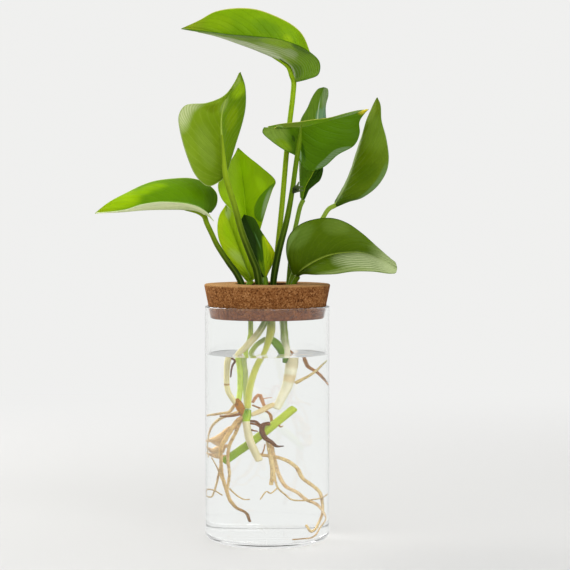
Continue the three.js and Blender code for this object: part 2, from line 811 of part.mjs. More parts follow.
    path: [
      [0.36, 0.05, 0.295], [0.5, 0.08, 0.27], [0.61, 0.1, 0.245], [0.71, 0.1, 0.215], [0.78, 0.1, 0.2],
    ],
  },
  {
    name: "root_high_brown",
    tint: rootTan,
    radii: [0.7, 0.9, 0.9, 0.8, 0.6],
    path: [
      [0.39, 0.1, 0.155], [0.44, 0.1, 0.17], [0.49, 0.2, 0.225], [0.59, 0.2, 0.25], [0.78, 0.18, 0.315],
    ],
  },
  {
    name: "root_dark_thread",
    tint: rootTan,
    radii: [0.7, 0.6, 0.4],
    path: [[-0.51, -0.14, 0.175], [-0.44, -0.21, 0.19], [-0.48, -0.22, 0.215], [-0.5, -0.2, 0.265]],
  },
];

function toManifold(geometry) {
  const bare = geometry.clone();
  bare.deleteAttribute("uv");
  bare.deleteAttribute("normal");
  const joined = mergeVertices(bare, 1e-4);
  return new wasm.Manifold(
    new wasm.Mesh({
      numProp: 3,
      vertProperties: new Float32Array(joined.getAttribute("position").array),
      triVerts: new Uint32Array(joined.getIndex().array),
    }),
  );
}

function fromManifold(solid) {
  const mesh = solid.getMesh();
  const geometry = new THREE.BufferGeometry();
  geometry.setAttribute("position", new THREE.BufferAttribute(mesh.vertProperties, 3));
  geometry.setIndex(new THREE.BufferAttribute(mesh.triVerts, 1));
  return geometry;
}

// The plant grows piece by piece, and each new piece stops short of the ones that are there
const neighbours = [toManifold(corkStopper(contactGap))];

function grow(name, shape, material) {
  let solid = toManifold(shape(0));
  for (const other of neighbours) {
    solid = solid.subtract(other);
  }
  const [largest] = solid.decompose().sort((a, b) => b.volume() - a.volume());
  addMesh(name, fromManifold(largest), material);
  neighbours.push(toManifold(shape(contactGap)));
}

addMesh("glass_vessel", glassVessel(), glass);
addMesh("cork_stopper", corkStopper(0), cork);

for (const leaf of leaves) {
  leaf.rows = bladeSurface(leaf);
  grow("leaf_" + leaf.name, (extra) => blade(leaf.rows, extra), leaf.tint);
}
// A thick stem lies across the collar, hidden in it, and the stalks and the lower stems grow from it
const crossRadius = 2.6;
const crossPath = [[-0.84, -0.1], [-0.3, -0.04], [0.3, -0.08], [0.88, -0.04]];
const crossRadii = [0.85, 1, 1, 0.85].map((share) => share * crossRadius);
grow(
  "stem_collar",
  (extra) => tube(crossPath.map((p) => inCollar(p, crossLevel, crossRadius)), crossRadii, stalkSides, extra),
  stalkGreen,
);
for (const leaf of leaves) {
  grow("stalk_" + leaf.name, (extra) => leafStalk(leaf, extra), stalkGreen);
}
for (const piece of sunkPieces) {
  const sides = piece.name.startsWith("root") ? rootSides : stalkSides;
  grow(piece.name, (extra) => tube(piece.path.map(below), piece.radii, sides, extra), piece.tint);
}

export default model;
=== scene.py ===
# A propagation vase: the finished look of a glass cylinder with water in it, a tapered cork stopper and the
# rooted cuttings that the stopper holds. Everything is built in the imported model's own frame, in metres and
# +Z up. The plant's points repeat the model's own, in millimetres and in shares of the room they grow in.
import math

import bpy
from bpy.props import FloatProperty, FloatVectorProperty, IntProperty, PointerProperty
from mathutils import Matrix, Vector, noise


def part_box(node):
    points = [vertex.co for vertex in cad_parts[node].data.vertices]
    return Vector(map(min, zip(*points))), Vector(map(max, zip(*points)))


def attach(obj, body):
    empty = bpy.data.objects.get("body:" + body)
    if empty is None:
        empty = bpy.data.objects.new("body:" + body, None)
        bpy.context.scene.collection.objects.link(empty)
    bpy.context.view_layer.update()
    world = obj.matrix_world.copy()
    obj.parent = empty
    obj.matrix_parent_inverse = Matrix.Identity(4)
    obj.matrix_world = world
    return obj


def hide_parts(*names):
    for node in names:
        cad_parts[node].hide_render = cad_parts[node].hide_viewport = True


bl_info = {
    "name": "Propagation vase",
    "version": (1, 0, 0),
    "blender": (4, 5, 0),
    "location": "View3D > Sidebar > Vase",
    "description": "Builds a glass cylinder with a cork stopper and rooted cuttings",
    "category": "Add Mesh",
}

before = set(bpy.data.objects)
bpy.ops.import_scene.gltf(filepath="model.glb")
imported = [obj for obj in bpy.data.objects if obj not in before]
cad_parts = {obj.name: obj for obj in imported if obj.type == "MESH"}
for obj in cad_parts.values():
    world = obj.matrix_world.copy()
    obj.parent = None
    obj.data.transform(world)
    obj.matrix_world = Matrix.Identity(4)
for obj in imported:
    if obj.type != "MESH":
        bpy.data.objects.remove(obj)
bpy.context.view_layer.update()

MM = 0.001
# Room between a stalk and the wall of the stopper's hole, in millimetres
GAP = 0.3
GLASS_LOW, GLASS_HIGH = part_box("glass_vessel")
CORK_LOW, CORK_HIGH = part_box("cork_stopper")

# Leaves: a midrib and two edges each, from the base of the blade to its tip, in millimetres from the centre
# of the stopper's top. left and right are as seen on the upper face with the tip ahead, and arch is how
# high each half bulges. The stalk has a radius, another at its neck, a place in the stopper's hole at its
# foot and one at the hole's top (collar), and bends above it. It ends below the midrib: under lists the
# twelfths of the blade that it follows, beside is how many neck radii it keeps off, and drawn_out the least
# share of it that narrows.
LEAVES = {
    "top": dict(
        slot="leaf_green", arch=(2, 3), radius=1.75, neck=1.7, foot=(0.13, 0.14), collar=(0.24, 0.12),
        beside=0.3, under=[0, 1.5, 3, 5],
        midrib=[(17, 3, 129.5), (14.5, 2, 138), (8, 0, 143), (-3.5, -2, 148), (-17.5, -3, 153),
                (-33.5, -4, 158), (-54.5, -6, 162)],
        left=[(18.5, 0, 129), (26, -4, 130.5), (32.5, -8, 133), (33, -12, 140.5), (25.5, -15, 147),
              (11, -19, 153), (-7.5, -20, 155.5), (-28.5, -15, 158), (-54.5, -6, 162)],
        right=[(21, 4, 133), (28, 5, 143.5), (26.5, 5, 151), (20.5, 4, 162), (3, 3, 172), (-15.5, 2, 176),
               (-33, 0, 173.5), (-43.5, -3, 167.5), (-54.5, -6, 162)],
        bends=[(6.5, 2.5, 21), (9.5, 3, 50), (12.5, 3.5, 85), (14.5, 3.5, 104), (16.5, 3.5, 120.5)]),
    "left_upright": dict(
        slot="leaf_green", arch=(2, 3), radius=2.4, neck=1.85, foot=(-0.36, -0.18), collar=(-0.32, -0.52),
        beside=0.9, under=[0, 3, 6],
        midrib=[(-26, -19.5, 69.5), (-27.5, -20, 81), (-28.5, -20, 93.5), (-28.5, -19, 106.5),
                (-25.5, -16, 117), (-20.5, -12, 126.5), (-17, -9, 134.5)],
        left=[(-25, -17, 71.5), (-20, -9, 88), (-15.5, -4, 103.5), (-13.5, -3, 117), (-14, -5, 126.5),
              (-17, -9, 134.5)],
        right=[(-29, -19, 65.5), (-37, -18, 62), (-44.5, -17, 68), (-50.5, -16, 81), (-55, -16, 97),
               (-55.5, -17, 106.5), (-51.5, -18, 112.5), (-37.5, -17, 114.5), (-27, -15, 119),
               (-20.5, -12, 127.5), (-17, -9, 134.5)],
        bends=[(-7, -9.5, 9.5), (-9.5, -10.5, 16), (-16, -13.5, 33), (-20.5, -17, 49.5), (-24, -20.5, 61)]),
    "left_arching": dict(
        slot="leaf_green", arch=(2, 3), radius=2.2, neck=1.65, foot=(-0.78, -0.18), collar=(-0.94, -0.27),
        beside=0.5, under=[0, 2, 4],
        midrib=[(-39.5, -8, 44), (-44, -9, 46.5), (-52.5, -10, 48), (-65, -11, 48), (-77.5, -13, 47.5),
                (-93, -15, 46), (-108.5, -17, 45)],
        left=[(-34, -10, 40), (-37.5, -16, 45), (-43.5, -22, 49), (-54.5, -27, 51.5), (-67, -29, 52),
              (-78.5, -27, 50.5), (-89.5, -22, 47), (-108.5, -17, 45)],
        right=[(-36, -4, 45.5), (-32.5, 0, 51), (-32.5, 3, 58), (-38.5, 5, 64), (-50, 6, 67.5),
               (-66, 5, 67), (-78.5, 2, 63.5), (-91, -4, 57.5), (-101, -11, 51.5), (-108.5, -17, 45)],
        bends=[(-19.5, -5, 6.5), (-24.5, -5.5, 13.5), (-32, -6.5, 25), (-35.5, -7.5, 32.5),
               (-38.5, -8, 39)]),
    "centre_back": dict(
        slot="leaf_green", arch=(2, 2), radius=1.6, neck=1.6, foot=(-0.17, 0.14), collar=(-0.17, 0.34),
        beside=0.6, under=[0],
        midrib=[(-11.5, 17, 35), (-14, 18, 45.5), (-15.5, 19, 60), (-17, 19, 74), (-19, 18, 88)],
        left=[(-18, 15, 39), (-23.5, 14, 47.5), (-29.5, 13, 54.5), (-32, 13, 62.5), (-30, 14, 69),
              (-25, 16, 77.5), (-21, 17, 84), (-19, 18, 88)],
        right=[(-4.5, 13, 34.5), (0, 12, 50), (3.5, 13, 60.5), (5.5, 15, 66), (-3.5, 17, 75),
               (-11.5, 18, 81.5), (-19, 18, 88)],
        bends=[(-8.5, 11, 14), (-10.5, 15, 25)]),
    "centre_left": dict(
        slot="leaf_green", arch=(2, 2), radius=1.9, neck=1.9, foot=(-0.56, 0.12), collar=(-0.66, 0.17),
        beside=0.4, under=[0],
        midrib=[(-10, 3, 1.5), (-13, 4, 9), (-17.5, 5, 21), (-22, 5, 32.5), (-25.5, 4, 42.5),
                (-26.5, 2, 50.5)],
        left=[(-13.5, 1, 1.5), (-22, 0, 12.5), (-27, 0, 19.5), (-31, 0, 28), (-32, 0, 37), (-30.5, 1, 44.5),
              (-26.5, 2, 50.5)],
        right=[(-7.5, 4, 3.5), (-7.5, 4, 9), (-12, 4, 21), (-15.5, 4, 32.5), (-20, 3, 43.5), (-24, 2, 48),
               (-26.5, 2, 50.5)],
        bends=[]),
    "centre_dark": dict(
        slot="leaf_dark", arch=(1, 1), radius=1.8, neck=1.8, foot=(-0.06, -0.18), collar=(-0.06, -0.08),
        beside=0.4, under=[0],
        midrib=[(-1, 2, 3.5), (-3.5, 5, 13), (-6, 7, 24), (-10.5, 8.5, 35), (-15, 9, 44.5)],
        left=[(-4, 3, 4.5), (-8, 5, 13), (-12.5, 7, 22.5), (-15.5, 8, 31.5), (-17.5, 9, 39),
              (-15, 9, 44.5)],
        right=[(-1, 4, 4.5), (2.5, 6, 10.5), (4.5, 8, 19.5), (0.5, 9, 27), (-4.5, 9, 34.5), (-8.5, 9, 42),
               (-15, 9, 44.5)],
        bends=[]),
    "right_spread": dict(
        slot="leaf_dark", arch=(2, 3), radius=2.3, neck=1.6, foot=(0.26, -0.18), collar=(0.22, -0.29),
        beside=1.15, under=[5], drawn_out=0.1,
        midrib=[(6, -11, 100), (14.5, -12.5, 99.5), (22.5, -13.5, 99.5), (32, -14, 101.5), (43, -13, 104.5),
                (53.5, -12, 107.5), (64, -11, 111)],
        left=[(-2, -10, 99.5), (-3, -10, 96.5), (2.5, -11, 91), (11, -12, 85), (18, -13, 81.5),
              (25.5, -15, 72.5), (35, -16, 74), (44.5, -16, 82), (55, -15, 88), (58.5, -13, 95.5),
              (58.5, -12, 103), (64, -11, 111)],
        right=[(0.5, -7, 100.5), (9.5, -1, 102.5), (20, 3, 104), (29.5, 5, 105.5), (40.5, 5, 107),
               (50, 2, 109.5), (58, -4, 111), (64, -11, 111)],
        bends=[(6.5, -6.5, 17), (8.5, -7.5, 25.5), (12.5, -10, 41), (16, -13, 60.5), (18, -15, 75),
               (20, -17, 88.5)]),
    "right_rolled": dict(
        slot="leaf_dark", arch=(1, 2), radius=1.6, neck=1.5, foot=(0.66, 0.14), collar=(0.76, 0.39),
        beside=0.5, under=[0],
        midrib=[(23, 8, 53.5), (24.5, 8, 61.5), (29.5, 7, 71), (34, 7, 81.5), (35.5, 8, 95), (35.5, 9, 110),
                (36.5, 9, 126.5)],
        left=[(21.5, 9, 55.5), (21, 10, 66), (21, 12, 76), (21.5, 13, 87), (22.5, 13, 97.5),
              (21.5, 12, 104.5), (26, 11, 113.5), (29.5, 10.5, 121), (33, 10, 125.5), (36.5, 9, 126.5)],
        right=[(24.5, 9, 55.5), (28.5, 9, 63), (33.5, 9, 66), (36, 9, 72), (36, 10, 80.5), (39, 12, 94),
               (38, 13, 107), (38, 12, 115), (39.5, 10, 122), (39, 9.5, 125.5), (36.5, 9, 126.5)],
        bends=[(15, 7.5, 14.5), (17, 8, 30), (19, 8.5, 39.5), (21.5, 9, 50)]),
    "right_upright": dict(
        slot="leaf_green", arch=(2, 3), radius=1.8, neck=1.5, foot=(0.82, 0.04), collar=(0.84, 0.06),
        beside=0.35, under=[0, 3, 5],
        midrib=[(44.5, 14, 51.5), (49.5, 13, 60), (54, 13, 70.5), (57.5, 13, 81), (61, 13, 92),
                (64, 13, 104), (68, 14, 113.5), (71.5, 15, 120.5)],
        left=[(44.5, 16, 53), (49, 24, 58), (56.5, 29, 68.5), (61.5, 31.5, 80), (64, 32, 92), (67, 27, 105),
              (69, 20, 115), (71.5, 15, 120.5)],
        right=[(45.5, 13.5, 49.5), (53.5, 12, 53), (61.5, 10, 55.5), (70.5, 8, 62), (76.5, 7, 71),
               (78.5, 7, 80), (77, 8, 93), (74, 10, 105), (73.5, 13, 115.5), (71.5, 15, 120.5)],
        bends=[(20, 3, 13), (27, 8, 29), (36, 12, 42), (40, 13.5, 48)]),
    "right_low": dict(
        slot="leaf_dark", arch=(2, 3), radius=1.9, neck=1.7, foot=(0.84, -0.18), collar=(0.95, -0.25),
        beside=0.4, under=[0],
        midrib=[(18.5, -7, 5), (22.5, -10, 9), (29, -12, 13.5), (38.5, -14, 18), (49, -15, 20),
                (60, -16, 20), (72, -17, 16), (82, -18, 10.5)],
        left=[(16.5, -6, 6.5), (13.5, -6, 13.5), (12, -7, 22.5), (14, -8, 31), (21, -9, 38),
              (31, -10, 41.5), (41.5, -11, 42), (50.5, -12, 39), (60, -13, 32.5), (70, -15, 23.5),
              (78, -17, 16.5), (81, -18, 14), (82, -18, 10.5)],
        right=[(20, -10, 5), (23, -15, 6.5), (32, -24, 6.5), (42, -29, 7), (52.5, -31, 8.5),
               (65.5, -28, 8.5), (77.5, -22, 7), (81, -19.5, 7.5), (82, -18, 10.5)],
        bends=[]),
}

# Stems and roots in the vessel: slot, radii in millimetres, path and look. The path is in shares of the
# bore's radius to the right and back, and of the depth from the stopper's underside to the floor.
SUNK_PIECES = {
    "stem_shoot": ("pale_stem", (2.4, 2.5, 2.6, 3.1, 2.9, 2.4, 2), [
        (0.27, 0, -0.005), (0.29, 0.02, 0.085), (0.32, 0.04, 0.155), (0.3, 0.05, 0.23), (0.25, 0.05, 0.31),
        (0.18, 0.04, 0.365), (0.12, 0.03, 0.41)],
        dict(codes="fff8dc 98b04a fffbe6", turns=(0.2, 0.42),
             bands=[(0.49, 0.08, "f2e6c0"), (0.645, 0.05, "efdcb0")])),
    "stem_cut_green": ("stalk_green", (2.3, 2.3, 2.3), [
        (-0.54, 0.06, 0.66), (-0.1, 0.01, 0.54), (0.33, 0.03, 0.415)],
        # One light stripe down one side: a painted highlight
        dict(codes="c6d83c 98bc10 e8f0a0", stripes=0.6, waves=1, turn=0.3)),
    "stem_main": ("stalk_green", (3, 2.7, 1.7, 1.7, 1.8, 1.7), [
        (0.06, -0.08, -0.015), (0.06, -0.08, 0.06), (-0.01, -0.1, 0.13), (-0.15, -0.12, 0.225),
        (-0.23, -0.12, 0.315), (-0.26, -0.1, 0.405)],
        dict(codes="d6d95e 7f9c24 eef0a8", stripes=0.5, waves=3, turns=(0.04, 0.22))),
    "stem_crown": ("stalk_green", (2, 2.4, 1.9), [
        (-0.26, -0.1, 0.42), (-0.27, -0.1, 0.445), (-0.28, -0.1, 0.47)],
        dict(codes="b8dc20 6f9a10 d2e660", stripes=0.6, waves=4)),
    "stem_white_stub": ("pale_stem", (1.9, 2.1, 2.1, 2), [
        (-0.28, -0.1, 0.465), (-0.23, -0.12, 0.555), (-0.16, -0.12, 0.61), (-0.11, -0.12, 0.645)],
        dict(codes="ece0b4 eee4bc f6eed0")),
    "stem_sheath": ("stalk_green", (2, 2.7, 2.3, 1), [
        (0.05, -0.03, 0.095), (0.16, -0.01, 0.12), (0.24, 0, 0.16), (0.22, 0, 0.2)],
        dict(codes="5f8a08 86ac1c 7fa81c")),
    "stem_left": ("stalk_green", (1.6, 1.6, 1.5, 1.4, 1.4), [
        (-0.28, 0.06, -0.01), (-0.29, 0.05, 0.085), (-0.37, 0.03, 0.165), (-0.35, 0, 0.23),
        (-0.35, -0.02, 0.33), (-0.37, -0.05, 0.375)],
        dict(codes="d6ee66 93b03a e6f2a0", turns=(0.05, 0.3))),
    "stem_behind": ("stalk_green", (1.5, 1.6, 1.5, 1.5, 1.4), [
        (-0.04, 0.12, 0.1), (-0.19, 0.1, 0.13), (-0.29, 0.08, 0.175), (-0.28, 0.05, 0.25),
        (-0.26, 0.02, 0.395)],
        dict(codes="dde8a0 b9cc6c ecf2c4")),
    "stem_rooting": ("pale_stem", (2.1, 2.1, 2.2, 1.8, 1.6, 1.5, 1.4), [
        (0.01, -0.22, -0.015), (-0.12, -0.2, 0.055), (-0.34, -0.17, 0.125), (-0.51, -0.14, 0.175),
        (-0.54, -0.1, 0.265), (-0.52, -0.08, 0.33), (-0.42, -0.05, 0.385)],
        dict(codes="fbf0b8 7c9830 fdf4d2", turns=(0.12, 0.34), bands=[(0.77, 0.012, "c9a664")])),
    "stem_knot": ("root_tan", (1.3, 2.3, 2.2, 1.2), [
        (-0.39, -0.06, 0.37), (-0.36, -0.07, 0.4), (-0.33, -0.08, 0.425), (-0.32, -0.08, 0.45)],
        dict(codes="c98820 7c4406", spots=0.9)),
    "stem_link": ("pale_stem", (1.2, 1.5, 1.7, 1.4), [
        (-0.2, -0.04, 0.44), (-0.09, 0, 0.425), (0.01, 0.02, 0.405), (0.08, 0.03, 0.395)],
        dict(codes="f2d8a0 f4dcaa f8e8c4")),
    "root_long_right": ("root_tan", (1, 1.1, 1, 1, 0.9, 0.8), [
        (-0.09, -0.04, 0.625), (0.1, 0, 0.635), (0.25, 0.03, 0.655), (0.37, 0.05, 0.69), (0.45, 0.05, 0.74),
        (0.58, 0.04, 0.775), (0.69, 0.02, 0.81), (0.74, 0, 0.875), (0.74, -0.03, 0.91), (0.7, -0.1, 0.945),
        (0.66, -0.18, 0.97), (0.61, -0.24, 0.975), (0.54, -0.26, 0.945)]),
    "root_floor_right": ("root_tan", (1, 1, 0.9, 0.7, 0.5), [
        (0.05, 0.1, 0.58), (0.09, 0.14, 0.655), (0.14, 0.16, 0.725), (0.23, 0.16, 0.78),
        (0.36, 0.14, 0.805), (0.48, 0.1, 0.84), (0.64, 0, 0.86), (0.8, -0.1, 0.9), (0.89, -0.2, 0.925),
        (0.81, -0.4, 0.955), (0.76, -0.52, 0.98), (0.68, -0.6, 0.99), (0.53, -0.68, 0.99),
        (0.39, -0.72, 0.99)],
        dict(codes="f6dcac c9995a a67a40")),
    "root_thin_right": ("root_tan", (0.8, 0.7, 0.5, 0.5, 0.45), [
        (0, 0.02, 0.565), (0.03, 0.04, 0.63), (0.08, 0.06, 0.7), (0.13, 0.06, 0.78), (0.23, 0.06, 0.815),
        (0.3, 0.04, 0.835), (0.44, 0, 0.84), (0.63, -0.04, 0.835), (0.74, -0.06, 0.83),
        (0.89, -0.06, 0.815)]),
    "root_twig": ("root_tan", (0.4, 0.4, 0.35), [
        (0.13, 0.06, 0.78), (0.04, 0.03, 0.805), (-0.01, 0, 0.795), (-0.09, -0.04, 0.83)]),
    "root_stump": ("root_tan", (1, 1.2, 1.3, 1.1), [
        (0.02, -0.05, 0.595), (0.05, -0.06, 0.65), (0.07, -0.06, 0.705), (0.05, -0.06, 0.76)]),
    "root_thick_left": ("root_tan", (1.5, 1.2, 1.1, 1.1, 1, 0.7), [
        (-0.32, -0.08, 0.45), (-0.4, -0.12, 0.47), (-0.51, -0.16, 0.52), (-0.63, -0.18, 0.585),
        (-0.64, -0.18, 0.65), (-0.62, -0.16, 0.715), (-0.55, -0.12, 0.785), (-0.49, -0.08, 0.835),
        (-0.4, -0.04, 0.87), (-0.27, 0, 0.895), (-0.22, 0.02, 0.935)],
        dict(codes="f0cd8c b07e42 7c5220")),
    "root_inner_left": ("root_tan", (1.1, 0.9, 0.9, 0.8, 0.7), [
        (-0.32, -0.08, 0.45), (-0.36, -0.04, 0.48), (-0.41, -0.03, 0.525), (-0.49, -0.02, 0.585),
        (-0.51, -0.02, 0.65), (-0.49, -0.02, 0.71), (-0.51, 0, 0.785)]),
    "root_inner_twig": ("root_tan", (0.5, 0.45, 0.35), [
        (-0.48, 0.02, 0.785), (-0.39, 0.04, 0.815), (-0.29, 0.06, 0.835), (-0.22, 0.08, 0.835)]),
    "root_loop": ("root_tan", (0.6, 0.6, 0.5, 0.45), [
        (-0.64, -0.18, 0.66), (-0.64, -0.06, 0.7), (-0.65, 0.04, 0.76), (-0.69, 0.05, 0.805),
        (-0.73, 0.06, 0.83), (-0.86, 0.06, 0.825), (-0.85, 0.04, 0.8), (-0.72, 0, 0.795),
        (-0.59, -0.03, 0.815)]),
    "root_wisp": ("root_tan", (0.4, 0.5, 0.4), [
        (-0.74, 0.02, 0.645), (-0.68, -0.03, 0.68), (-0.63, -0.1, 0.725), (-0.55, -0.12, 0.785)]),
    "root_side_upper": ("root_tan", (0.9, 0.9, 0.8, 0.6), [
        (-0.36, -0.07, 0.4), (-0.41, -0.01, 0.395), (-0.48, 0.04, 0.43), (-0.59, 0.06, 0.44),
        (-0.81, 0.1, 0.455)]),
    "root_side_dark": ("root_tan", (0.8, 0.8, 0.7, 0.5), [
        (-0.33, -0.08, 0.435), (-0.41, -0.14, 0.44), (-0.52, -0.18, 0.445), (-0.66, -0.2, 0.445)],
        dict(codes="9a6426 663c12")),
    "root_wall": ("root_tan", (0.7, 0.9, 0.8, 0.7, 0.5), [
        (-0.34, -0.08, 0.42), (-0.45, -0.1, 0.435), (-0.6, -0.08, 0.455), (-0.73, -0.04, 0.49),
        (-0.8, 0, 0.535), (-0.83, 0.02, 0.595), (-0.8, 0.04, 0.645)]),
    "root_fan_upper": ("root_tan", (1.2, 1.8, 1.5, 0.5), [
        (-0.38, -0.04, 0.495), (-0.46, 0.03, 0.505), (-0.55, 0.08, 0.535), (-0.66, 0.08, 0.56),
        (-0.87, 0.08, 0.575)],
        dict(codes="fbd8a0 dba868")),
    "root_fan_middle": ("root_tan", (0.8, 1.2, 1.6, 1.2, 0.5), [
        (-0.49, -0.02, 0.585), (-0.52, 0.06, 0.59), (-0.61, 0.14, 0.605), (-0.69, 0.14, 0.615),
        (-0.82, 0.12, 0.6)],
        dict(codes="fbdaa6 dfb074")),
    "root_fan_lower": ("root_tan", (0.7, 1, 1.4, 1, 0.5), [
        (-0.45, 0.05, 0.635), (-0.52, 0.14, 0.64), (-0.58, 0.2, 0.645), (-0.67, 0.18, 0.64),
        (-0.8, 0.16, 0.63)],
        dict(codes="fbdaa6 dfb074")),
    "root_arch": ("root_tan", (0.8, 0.9, 1, 0.8), [
        (-0.18, 0.06, 0.385), (-0.14, 0.06, 0.36), (-0.1, 0.06, 0.35), (-0.07, 0.06, 0.37),
        (-0.04, 0.05, 0.4)],
        dict(codes="e2a878 b87848")),
    "root_behind_link": ("root_tan", (0.5, 0.6, 0.8, 0.7), [
        (-0.18, 0.12, 0.4), (-0.06, 0.14, 0.42), (0.03, 0.1, 0.44), (0.06, 0.02, 0.495)],
        dict(codes="c08c4c 8e5c26")),
    "root_ring": ("root_tan", (1.2, 1.4, 1.4, 1.3, 1, 0.3), [
        (0.02, -0.04, 0.48), (-0.05, -0.06, 0.485), (-0.07, -0.06, 0.51), (-0.03, -0.06, 0.545),
        (0.05, -0.05, 0.565), (0.12, -0.04, 0.585), (0.21, -0.03, 0.585)],
        dict(codes="7d4c18 4a290c 1a0e04")),
    "root_peg": ("root_tan", (0.8, 0.8, 0.7), [
        (-0.28, -0.1, 0.465), (-0.21, -0.02, 0.47), (-0.14, 0.04, 0.475), (-0.08, 0.06, 0.495)],
        dict(codes="935a1e 5d3610")),
    "root_high_pale": ("root_tan", (1.1, 0.8, 0.7, 0.5), [
        (0.36, 0.05, 0.295), (0.5, 0.08, 0.27), (0.61, 0.1, 0.245), (0.71, 0.1, 0.215), (0.78, 0.1, 0.2)],
        dict(codes="f0d896 c9a85c cfdc80")),
    "root_high_brown": ("root_tan", (0.7, 0.9, 0.9, 0.8, 0.6), [
        (0.39, 0.1, 0.155), (0.44, 0.1, 0.17), (0.49, 0.2, 0.225), (0.59, 0.2, 0.25), (0.78, 0.18, 0.315)],
        dict(codes="c98e48 8a581e")),
    "root_dark_thread": ("root_tan", (0.7, 0.6, 0.4), [
        (-0.51, -0.14, 0.175), (-0.44, -0.21, 0.19), (-0.48, -0.22, 0.215), (-0.5, -0.2, 0.265)],
        dict(codes="7a4c1a 4a2a0c")),
}

# The look of the roots that have none of their own
PLAIN_ROOT = dict(codes="f2d89c b98a50")


def length(name, description, default):
    return FloatProperty(name=name, description=description, default=default, unit="LENGTH",
                         subtype="DISTANCE")


def colour(name, description, default):
    return FloatVectorProperty(name=name, description=description, default=default, size=3, min=0, max=1,
                               subtype="COLOR")


class VesselSettings(bpy.types.PropertyGroup):
    """Sizes of the turned pieces"""
    outer_radius: length("Outer radius", "Radius of the glass outside", GLASS_HIGH.x)
    height: length("Height", "Height of the glass", GLASS_HIGH.z)
    wall: length("Wall", "Thickness of the glass wall", 2 * MM)
    floor: length("Floor", "Thickness of the glass floor", 3 * MM)
    foot_rounding: length("Foot rounding", "Radius of the outer edge at the foot", 4 * MM)
    floor_rounding: length("Floor rounding", "Radius of the inner edge at the floor", 2.5 * MM)
    water_level: length("Water level", "Height of the water above the foot", 119 * MM)
    water_overlap: length("Water overlap", "How far the water reaches into the glass", 0.04 * MM)
    meniscus: length("Meniscus", "How far the water climbs up the glass", 0.35 * MM)
    collar_radius: length("Collar radius", "Radius of the hole in the stopper", 20 * MM)
    cork_edge: length("Cork edge", "Rounding of the stopper's worn edges", 1.1 * MM)
    segments: IntProperty(name="Segments", description="Steps round a turned piece", default=384, min=24)


class PlantSettings(bpy.types.PropertyGroup):
    """Sizes of the plant's surfaces"""
    blade: length("Blade", "Thickness of a leaf blade", 0.5 * MM)
    midrib: length("Midrib", "Thickness of a leaf at its midrib", 1.5 * MM)
    blade_rows: IntProperty(name="Blade rows", description="Rows of faces along a leaf", default=90, min=12)
    blade_columns: IntProperty(name="Blade columns", description="Faces across a leaf", default=48, min=8)
    stalk_sides: IntProperty(name="Stalk sides", description="Faces round a stalk", default=20, min=6)
    root_sides: IntProperty(name="Root sides", description="Faces round a root", default=12, min=5)
    step: length("Step", "Spacing of the rings along a stalk or root", 0.9 * MM)


class StageSettings(bpy.types.PropertyGroup):
    """The light and the view"""
    floor_colour: colour("Floor", "Colour of the floor", (0.585, 0.58, 0.57))
    backdrop_colour: colour("Backdrop", "Colour behind the object", (0.87, 0.87, 0.86))
    shown_through: FloatProperty(name="Shown through", description="How plain glass shows the floor",
                                 default=0.95)
    room_light: FloatProperty(name="Room light", description="Strength of the light from all sides",
                              default=0.86)
    lens: FloatProperty(name="Lens", description="Focal length on a 36 mm sensor", default=98.9,
                        unit="CAMERA")
    distance: length("Distance", "From the camera to the vase's axis", 1.005)
    eye_height: length("Eye height", "Height of the camera", 0.2035)
    aim_right: length("Aim right", "Where the view's centre lies to the right of the axis", 0.0114)
    aim_height: length("Aim height", "Where the view's centre lies above the foot", 0.1631)


class Link:
    """A socket of a material's node, which sums and products turn into Math nodes"""

    def __init__(self, shades, socket):
        self.shades = shades
        self.socket = socket

    def math(self, operation, *values):
        return self.shades.link("Math", {"operation": operation}, dict(enumerate(values)))

    def __add__(self, other):
        return self.math("ADD", self, other)

    def __radd__(self, other):
        return self.math("ADD", other, self)

    def __sub__(self, other):
        return self.math("SUBTRACT", self, other)

    def __rsub__(self, other):
        return self.math("SUBTRACT", other, self)

    def __mul__(self, other):
        return self.math("MULTIPLY", self, other)

    def __rmul__(self, other):
        return self.math("MULTIPLY", other, self)

    def __truediv__(self, other):
        return self.math("DIVIDE", self, other)

    def __rtruediv__(self, other):
        return self.math("DIVIDE", other, self)

    def __pow__(self, other):
        return self.math("POWER", self, other)

    def __abs__(self):
        return self.math("ABSOLUTE", self)

    def sine(self):
        return self.math("SINE", self)

    def within(self, low, high):
        """0 below low, 1 above high and smooth in between"""
        return self.shades.link("MapRange", {"interpolation_type": "SMOOTHSTEP", "clamp": True},
                                {"Value": self, "From Min": low, "From Max": high})


